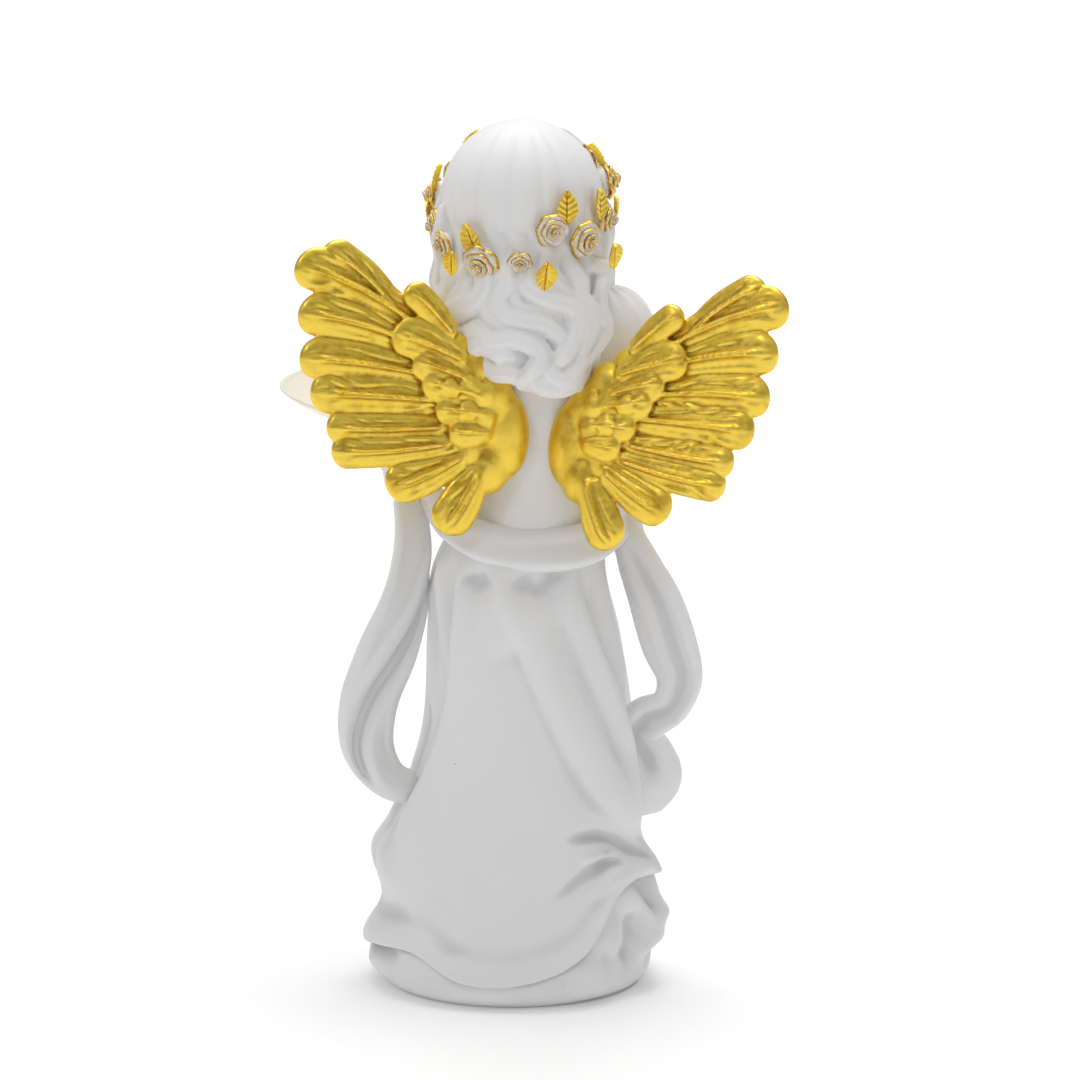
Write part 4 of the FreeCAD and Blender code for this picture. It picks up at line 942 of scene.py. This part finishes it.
# The features of the face: rise, width on each side, and path across and up from the middle of the face.
PAIRED_FEATURES = [
    (0.9, 3.2, 2.2, [(1.5, 6.4), (4.4, 8.2), (8.2, 7.6), (11, 5.4)]),
    (-1.3, 3, 3, [(2.6, 3.4), (6, 4.6), (9.6, 3.6)]),
    (1.5, 2.6, 2.6, [(3.4, 1.6), (6.3, 2.5), (9.2, 1.4)]),
    (-0.75, 0.55, 0.55, [(3.0, 0.7), (4.4, -0.5), (6.3, -1.0), (8.2, -0.5), (9.9, 1.0)]),
    (0.45, 0.7, 0.7, [(3.2, 0.0), (4.6, -1.4), (6.3, -1.9), (8.2, -1.4), (9.8, 0.0)]),
    (-0.35, 0.5, 0.5, [(3.2, 3.0), (6.3, 4.2), (9.4, 2.8)]),
    (1.1, 1.2, 1.2, [(1.1, -3.9), (1.9, -3.5), (2.2, -2.7)]),
    (1.2, 5.5, 5.5, [(7.0, -3.0), (8.6, -4.6), (9.0, -6.0)])]
FEATURES = [
    (1.5, 3.0, 3.0, [(0, 7.0), (0, 2.5), (0, -1.2), (0, -3.4)]),
    (2.0, 2.3, 2.3, [(0, 1.0), (0, -1.2), (0, -2.6), (0, -3.4)]),
    (-0.5, 0.6, 0.6, [(-0.1, -4.8), (0, -5.6), (0, -6.2)]),
    (1.45, 1.2, 1.4, [(-3.6, -7.9), (-1.3, -6.9), (0, -7.2), (1.3, -6.9), (3.6, -7.9)]),
    (1.7, 1.4, 1.4, [(-2.8, -8.9), (-1.2, -9.4), (0, -9.6), (1.2, -9.4), (2.8, -8.8)]),
    (-0.95, 0.5, 0.5, [(-4.1, -7.8), (-2, -8.1), (0, -8.3), (2, -8.1), (4.1, -7.8)]),
    (-0.7, 1.5, 1.5, [(-2, -11.3), (0, -11.6), (2, -11.3)]),
    (1.5, 3.6, 3.2, [(-1.6, -14.2), (0, -14.6), (1.6, -14.2)])]
for rise, left, right, path in PAIRED_FEATURES:
    FEATURES += [(rise, left, right, path), (rise, right, left, [(-across, up) for across, up in path])]


def make_face():
    """The face and the neck: calm, with closed eyes."""
    rows, columns = 230, 330
    upward = np.linspace(-math.pi / 2 + 0.02, math.pi / 2 - 0.02, rows)[:, None]
    around = np.linspace(-math.pi, math.pi, columns, endpoint=False)[None]
    around = around - 0.55 * np.sin(around)
    way = np.stack([np.cos(upward) * np.sin(around), -np.cos(upward) * np.cos(around),
                    np.sin(upward) + 0 * around], -1)
    local = way * FACE_RADII
    narrow = 1 - 0.20 * ramp(-local[..., 2], 3, 19)
    local[..., 0] *= narrow
    push = np.zeros(local.shape[:2])
    for rise, left, right, path in FEATURES:
        near, along = near_path(local[..., [0, 2]], spline(path, 20), left, right)
        push += rise * near * np.where(local[..., 1] < 0, 1, 0)
    push *= ramp(-way[..., 1], 0.15, 0.5)
    head = closed_grid(FACE + local + unit(way / FACE_RADII) * push[..., None])
    neck_path = spline([(-5.2, -2.2, 196), (-4.9, -2.6, 200), (-4.4, -3.6, 206), (-4, -5, 212)], 24)
    neck = sweep(neck_path, np.interp(np.linspace(0, 1, 24), [0, 0.3, 1], [7.4, 6.5, 7.2]),
                 np.interp(np.linspace(0, 1, 24), [0, 0.3, 1], [7.2, 6.3, 7.0]), (1, 0, 0), 60)
    for shell, name in ((head, "face"), (neck, "neck")):
        finish_piece(mesh_object(name, shell, "white_resin"), ["head_casting"], 5)


# ------------------------------------------------------------------ wreath


def petal(turn, span, inner, outer, low, high, droop, wave):
    """One petal of a rose of radius 1: a thick curved sheet with a rolled rim. Also how close to the rim."""
    u = np.linspace(-1, 1, 18)[:, None]
    v = np.concatenate([np.linspace(0, 1, 12), np.linspace(1, 0, 12)])[None]
    side = np.concatenate([np.zeros(12), np.ones(12)])[None] * 2 - 1
    reach = 1 - 0.22 * np.abs(u) ** 3
    radius = inner + (outer - inner) * v**0.8 * reach + 0.05 * side
    height = low + (high - low) * np.sin(v * 1.9) / math.sin(1.57) * reach - droop * v**3 * reach
    height = height + 0.035 * np.sin(3 * u + wave) * v
    bearing = math.radians(turn) + math.radians(span) / 2 * u + 0 * v
    radius = radius * (1 + 0.05 * np.sin(5 * u + wave))
    points = np.stack(np.broadcast_arrays(radius * np.cos(bearing), radius * np.sin(bearing), height), -1)
    gilt = ramp(v, 0.6, 0.95) * (1 - 0.25 * (side > 0)) + 0 * u
    return closed_grid(points), np.concatenate([gilt.ravel(), [0.3, 0.3]])


# Each ring of petals, from the outside in: how many, the first one's turn, and what petal() takes.
PETAL_RINGS = [
    (5, 0, (100, 0.34, 1.0, -0.08, 0.52, 0.34)), (4, 30, (120, 0.26, 0.72, 0.0, 0.70, 0.22)),
    (3, 10, (150, 0.16, 0.46, 0.1, 0.84, 0.1)), (2, 60, (200, 0.05, 0.24, 0.2, 0.98, 0.03))]


def rose_template():
    """A rose of radius 1 on its calyx, and how gilt each of its points is."""
    petals = []
    for ring, (count, turn, sizes) in enumerate(PETAL_RINGS):
        for number in range(count):
            petals.append(petal(360 / count * number + turn, *sizes, number + 2 * ring))
    level = np.array([(-0.5, 0.45), (-0.42, 0.56), (-0.2, 0.74), (0.0, 0.86), (0.14, 0.82), (0.3, 0.4)])
    angle = np.linspace(0, 2 * math.pi, 32, endpoint=False)[None]
    calyx = np.stack([level[:, 1:] * np.cos(angle), level[:, 1:] * np.sin(angle), level[:, :1] + 0 * angle],
                     -1)
    cup = closed_grid(calyx)
    petals.append((cup, np.full(len(cup[0]), -0.4)))
    return join([shell for shell, _ in petals]), np.concatenate([gilt for _, gilt in petals])


def leaf_template():
    """A leaf of length 1 along Y, with a sunk midrib, slanting veins and a toothed edge."""
    s = np.linspace(0.01, 0.99, 70)[:, None]
    angle = np.linspace(0, 2 * math.pi, 48, endpoint=False)[None]
    across, upward = np.cos(angle), np.sin(angle)
    plan = 0.33 * np.sin(math.pi * s**0.85) ** 0.8 * (1 + 0.06 * np.abs(np.sin(s * 22)))
    veins = np.cos(s * 36 - np.abs(across) * 7) * 0.018 * ramp(np.abs(across), 0.08, 0.3)
    rib = -0.06 * np.exp(-(across / 0.1) ** 2)
    height = 0.07 * upward + (veins + rib) * ramp(upward, 0, 0.4) + 0.1 * across**2 - 0.12 * (s - 0.5) ** 2
    return closed_grid(np.stack(np.broadcast_arrays(across * plan, s - 0.5, height), -1))


def blossom_tree():
    """Sets a copy of Blossom at every point of the mesh, by the points' own facing, aim and size."""
    tree = bpy.data.node_groups.new("set_blossoms", "GeometryNodeTree")
    face = tree.interface
    face.new_socket("Seats", in_out="INPUT", socket_type="NodeSocketGeometry")
    face.new_socket("Blossom", in_out="INPUT", socket_type="NodeSocketObject")
    face.new_socket("Finish", in_out="INPUT", socket_type="NodeSocketMaterial")
    face.new_socket("Size", in_out="INPUT", socket_type="NodeSocketFloat").default_value = 1.0
    face.new_socket("Wreath", in_out="OUTPUT", socket_type="NodeSocketGeometry")
    given, made = tree.nodes.new("NodeGroupInput").outputs, tree.nodes.new("NodeGroupOutput").inputs
    facing, aim = (add(tree, "GeometryNodeInputNamedAttribute", {"Name": name},
                       data_type="FLOAT_VECTOR").outputs[0]
                   for name in ("facing", "aim"))
    share = add(tree, "GeometryNodeInputNamedAttribute", {"Name": "share"}, data_type="FLOAT").outputs[0]
    turn = add(tree, "FunctionNodeAxesToRotation", {0: facing, 1: aim}, primary_axis="Z", secondary_axis="Y")
    seats = add(tree, "GeometryNodeMeshToPoints", {"Mesh": given["Seats"]})
    blossom = add(tree, "GeometryNodeObjectInfo", {"Object": given["Blossom"]})
    copies = add(tree, "GeometryNodeInstanceOnPoints", {
        "Points": seats.outputs[0], "Instance": blossom.outputs["Geometry"], "Rotation": turn.outputs[0],
        "Scale": math_node(tree, "MULTIPLY", share, given["Size"])})
    real = add(tree, "GeometryNodeRealizeInstances", {0: copies.outputs[0]})
    painted = add(tree, "GeometryNodeSetMaterial", {"Geometry": real.outputs[0], "Material": given["Finish"]})
    tree.links.new(painted.outputs[0], made["Wreath"])
    return tree


def set_blossoms(name, tree, template, seats, finish, size):
    """A mesh of seats grown into blossoms. A seat is a place, the way it faces, its aim and its scale."""
    places, facing, aim, share = (np.array(list(column), float) for column in zip(*seats))
    made = mesh_object(name, (places, []), None, share=share)
    for attribute, values in (("facing", facing), ("aim", aim)):
        layer = made.data.attributes.new(attribute, "FLOAT_VECTOR", "POINT")
        layer.data.foreach_set("vector", values.ravel().astype(np.float32))
    grown = made.modifiers.new("blossoms", "NODES")
    grown.node_group = tree
    wanted = {"Blossom": template, "Finish": FINISH[finish], "Size": size}
    for socket in tree.interface.items_tree:
        if socket.in_out == "INPUT" and socket.name in wanted:
            grown[socket.identifier] = wanted[socket.name]
    settled(made)
    for attribute in ("facing", "aim", "share"):
        layer = made.data.attributes.get(attribute)
        if layer:
            made.data.attributes.remove(layer)
    return made


def node_axis(name):
    """The points of a wreath node, their middle and the way out of the hair there."""
    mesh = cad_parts[name].data
    points = np.array([vertex.co for vertex in mesh.vertices]) / MM
    middle = (points.min(0) + points.max(0)) / 2
    return points, middle, unit((middle - HEAD) * (1, 1, 0.85))


# Each blossom's share of the full size, and each leaf's turn from upright, in degrees.
ROSE_SHARES = (1, 0.62, 0.86, 0.98, 0.86, 0.96, 0.74, 0.92, 1, 0.9, 0.74, 0.94, 0.84, 0.7)
LEAF_SHARES = (0.95, 0.8, 0.95, 0.9, 0.85, 0.9, 0.75, 0.85, 0.85, 0.85, 0.8, 0.85, 0.8, 0.85)
LEAF_TURNS = (-15, 200, 0, 180, 160, 0, 175, 20, 180, 10, 180, -10, 180, 0)


def make_wreath():
    """The roses and leaves, each by its node, the leaves drawn back along their aim."""
    tree = blossom_tree()
    for kind, shares in (("rose", ROSE_SHARES), ("leaf", LEAF_SHARES)):
        if kind == "rose":
            shell, gilt = rose_template()
            template = mesh_object("rose_template", (np.asarray(shell[0]) / MM, shell[1]), "rose", gilt=gilt)
        else:
            shell = leaf_template()
            template = mesh_object("leaf_template", (np.asarray(shell[0]) / MM, shell[1]), "leaf_gold")
        seats, nodes = [], []
        for number, share in enumerate(shares, start=1):
            name = f"wreath_{kind}_{number:02d}"
            points, middle, axis = node_axis(name)
            top = (points @ axis).max()
            across = unit(np.cross((0, 0, 1), axis))
            up = unit(np.cross(axis, across))
            if kind == "rose":
                radius = 5.5 * share
                level = top - radius * 0.7
                spin = math.radians(47 * number)
            else:
                radius = 10.0 * share
                level = top + (1.1 if abs(LEAF_TURNS[number - 1]) > 90 else -0.5)
                spin = math.radians(LEAF_TURNS[number - 1])
            spot = middle + axis * (level - middle @ axis)
            aim = up * math.cos(spin) + across * math.sin(spin)
            if kind == "leaf":
                before = np.linalg.norm((spot - HEAD) / CROWN_RADII)
                spot = spot - aim * radius * 0.45 + up * (1.6 if math.cos(spin) < 0 else 0.0)
                spot = HEAD + (spot - HEAD) * before / np.linalg.norm((spot - HEAD) / CROWN_RADII)
                axis = unit((spot - HEAD) * (1, 1, 0.85))
            seats.append((spot, axis, aim, radius * MM))
            nodes.append(name)
        made = set_blossoms(f"wreath_{kind}s" if kind == "rose" else "wreath_leaves", tree, template, seats,
                            "rose" if kind == "rose" else "leaf_gold", 1.0)
        finish_piece(made, nodes, 3)
        bpy.data.objects.remove(template)


# ------------------------------------------------------------------ arms and dish

ARMS = {
    "left": dict(side=1, shoulder=(14.5, 0, 188), elbow=(30, -3, 147), wrist=(38, -27, 152),
                 palm=(42, -35, 154.8), reach=(0.1, -0.98, 0.12), back=(0, -0.12, -0.99), curl=0.5),
    "right": dict(side=-1, shoulder=(-27.5, 0, 188), elbow=(-35, -4, 144), wrist=(-20, -23, 160),
                  palm=(-14, -24, 165.5), reach=(0.74, -0.14, 0.66), back=(0.1, -0.98, -0.1),
                  curl=0.25)}


def digit(points, steps, widths, thicknesses, across):
    """A finger or thumb, by its half widths and thicknesses at its root, middle, last joint and tip."""
    t = np.linspace(0, 1, steps)
    joints = [0, 0.5, 0.9, 1]
    return sweep(spline(points, steps), np.interp(t, joints, widths), np.interp(t, joints, thicknesses),
                 across, 20)


def make_arm(word):
    """A puffed sleeve gathered in a band, a bent arm and an open hand."""
    arm = ARMS[word]
    joints = ("shoulder", "elbow", "wrist", "palm")
    shoulder, elbow, wrist, palm = (np.array(arm[joint], float) for joint in joints)
    side = arm["side"]
    down = unit(elbow - shoulder)
    latitude = np.linspace(-1.45, 1.45, 70)[:, None]
    longitude = np.linspace(0, 2 * math.pi, 150, endpoint=False)[None]
    gather = np.sin(longitude * 11 + 0.8 * np.sin(longitude * 2)) * 0.5 * (np.abs(np.sin(latitude)) ** 2)
    ball = np.stack([np.cos(latitude) * np.cos(longitude), np.cos(latitude) * np.sin(longitude),
                     np.sin(latitude) + 0 * longitude], -1)
    ball = ball * (12 + gather[..., None]) * np.array([0.98, 0.94, 1.1])
    cross = unit(np.cross(down, (0, 1, 0)))
    axes = np.array([cross, np.cross(down, cross), down])
    centre = shoulder + np.array([side * 0.5, 0, 3.0]) + down * 1.5
    shells = [closed_grid(centre + ball @ axes)]
    cuff = [centre + down * k for k in (10.5, 12, 13.6, 15)]
    shells.append(sweep(spline(cuff, 16), [7.2] * 16, [7.2] * 16, (0, 1, 0), 60, 22, 0.02))
    sleeve = [shoulder + down * 6, shoulder * 0.55 + elbow * 0.45,
              elbow + down * 1.0, elbow * 0.5 + wrist * 0.5,
              wrist, wrist * 0.45 + palm * 0.55]
    steps = 80
    path = spline(sleeve, steps)
    t = np.linspace(0, 1, steps)
    radius = np.interp(t, [0, 0.25, 0.5, 0.62, 0.85, 1], [6.4, 5.6, 5.3, 5.1, 4.0, 3.2])
    radius = radius + 0.25 * np.sin(t * 40) * ramp(t, 0.3, 0.45) * (1 - ramp(t, 0.6, 0.7))
    shells.append(sweep(path, radius, radius, (0, 1, 0), 48))
    reach, back = unit(arm["reach"]), unit(arm["back"])
    across = unit(np.cross(back, reach)) * side
    back = unit(np.cross(reach, across))
    shells.append(ellipsoid(palm, (4.4, 5.6, 1.9), np.array([across, reach, back]), 24, 36))
    heel = spline([wrist, wrist * 0.5 + palm * 0.5, palm + reach], 14)
    shells.append(sweep(heel, np.linspace(3.5, 4.0, 14), np.linspace(3.1, 1.9, 14), across, 32))
    inward = -back if word == "left" else back
    for place, length in ((-3.3, 8.2), (-1.15, 9.4), (1.1, 9.0), (3.2, 7.2)):
        start = palm + reach * 3.6 + across * place
        forward = (reach + across * place * 0.12) * length
        curled = inward * arm["curl"]
        points = [start, start + forward * 0.45, start + forward * 0.8 + curled * 1.6,
                  start + forward + curled * 3.0]
        shells.append(digit(points, 26, (1.45, 1.35, 1.1, 0.5), (1.4, 1.25, 1.05, 0.5), across))
    thumb = [palm - reach * 2.4 - across * 3.2, palm + reach * 1.0 - across * 5.6,
             palm + reach * 4.4 - across * 6.4 + inward * 0.6]
    shells.append(digit(thumb, 24, (1.6, 1.35, 1.05, 0.4), (1.5, 1.25, 1.0, 0.4), across))
    made = cast_as_one(f"{word}_arm", shells, 0.36, 2, "white_resin")
    return finish_piece(made, [f"{word}_arm_casting"], 6)


def make_dish():
    """The shallow open dish: a short foot, a thin flared wall and a rolled rim."""
    centre, axis = np.array([44.4, -38, 158.9]), unit((-0.09, 0.17, 0.98))
    profile = spline([
        (0.2, 0), (8.6, 0), (9.1, 0.5), (9.2, 1.1), (11, 1.9), (17, 4.2), (22.5, 7.0), (25.4, 9.0),
        (26.0, 9.6), (25.7, 10.1), (25.0, 10.0), (24.2, 9.4), (21.6, 7.9), (16.6, 5.4), (10.5, 3.4),
        (5.0, 2.6), (0.2, 2.4)], 110)
    angle = np.linspace(0, 2 * math.pi, 180, endpoint=False)[None]
    rim = 1 + 0.012 * np.sin(angle * 5 + 1) * (profile[:, :1] / 26) ** 3
    across = unit(np.cross((0, 1, 0), axis))
    ahead = np.cross(axis, across)
    way = np.cos(angle)[..., None] * across + np.sin(angle)[..., None] * ahead
    points = profile[:, :1, None] * rim[..., None] * way
    points = centre + points + (profile[:, 1:2, None] - 0.4) * axis
    # its finish paints the cream of light reflected from the gold wings over white resin
    return finish_piece(mesh_object("dish", closed_grid(points), "cream_resin"),
                        ["offering_dish"], 5)


# ------------------------------------------------------------------ everything in its place

make_skirt()
make_pool()
make_swag()
make_hair()
make_face()
make_wreath()
make_dish()
for word in WINGS:
    make_stole(word)
    make_wing(word)
    make_arm(word)
for node, finish in (("felt_pad", "felt_cloth"), ("base_plug", "plug_resin"), ("stole_pins", "pin_steel")):
    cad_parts[node].data.materials.clear()
    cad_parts[node].data.materials.append(FINISH[finish])

# ------------------------------------------------------------------ studio


# Each lamp: its place, what it is aimed at, its breadth, and its power in watts.
LAMPS = {
    "key_light": ((0.7, 0.85, 1.0), (0, 0, 0.13), 0.3, 1.5),
    "fill_light": ((-0.95, 0.7, 0.35), (0, 0, 0.12), 0.5, 0.25),
    "top_light": ((0.0, -0.2, 1.3), (0, 0, 0.1), 0.9, 9.5),
    "front_light": ((-0.4, -1.1, 0.7), (0, 0, 0.12), 0.8, 0.45)}
FLOOR_HALF = 9000.0
CAMERA_AIM, CAMERA_AWAY, CAMERA_RISE, CAMERA_LENS = (-0.0071, 0, 0.1295), 1.034, math.radians(9.5), 120


def area_light(name, place, target, size, power):
    lamp = bpy.data.lights.new(name, "AREA")
    lamp.shape, lamp.size, lamp.energy = "DISK", size, power
    made = bpy.data.objects.new(name, lamp)
    bpy.context.scene.collection.objects.link(made)
    made.location = place
    direction = np.asarray(target, float) - np.asarray(place, float)
    made.rotation_euler = Vector(direction).to_track_quat("-Z", "Y").to_euler()


def make_studio():
    """A plain pale floor, four soft lamps, an even pale sky and the camera."""
    corners = np.array([(-1, -1, 0), (1, -1, 0), (1, 1, 0), (-1, 1, 0)]) * FLOOR_HALF
    floor = mesh_object("floor", (corners, [[0, 1, 2, 3]]), "studio_floor")
    for name, lamp in LAMPS.items():
        area_light(name, *lamp)
    world = bpy.data.worlds.new("studio")
    world.use_nodes = True
    bpy.context.scene.world = world
    tree = world.node_tree
    back = tree.nodes["Background"]
    generated = add(tree, "ShaderNodeTexCoord").outputs["Generated"]
    way = add(tree, "ShaderNodeSeparateXYZ", {0: generated}).outputs
    overhead = spread(tree, way["Z"], 0.0, 0.75, 0.10, 0.62)
    beyond = spread(tree, way["Y"], 0.15, -0.25, 0.0, 1.0)
    seen = add(tree, "ShaderNodeLightPath").outputs["Is Camera Ray"]
    lit = math_node(tree, "MAXIMUM", overhead, math_node(tree, "MULTIPLY", beyond, 0.34))
    level = math_node(tree, "MAXIMUM", lit, math_node(tree, "MULTIPLY", seen, 1.05))
    tree.links.new(add(tree, "ShaderNodeCombineColor", {0: level, 1: level, 2: level}).outputs[0],
                   back.inputs["Color"])
    back.inputs["Strength"].default_value = 1.0
    bpy.context.scene.view_settings.view_transform = "Standard"
    camera = bpy.data.objects.new("camera", bpy.data.cameras.new("camera"))
    bpy.context.scene.collection.objects.link(camera)
    camera.data.lens = CAMERA_LENS
    camera.data.clip_start, camera.data.clip_end = 0.05, 50
    direction = Vector((0, math.cos(CAMERA_RISE), math.sin(CAMERA_RISE)))
    camera.location = Vector(CAMERA_AIM) + direction * CAMERA_AWAY
    camera.rotation_euler = (-direction).to_track_quat("-Z", "Y").to_euler()
    bpy.context.scene.camera = camera


make_studio()
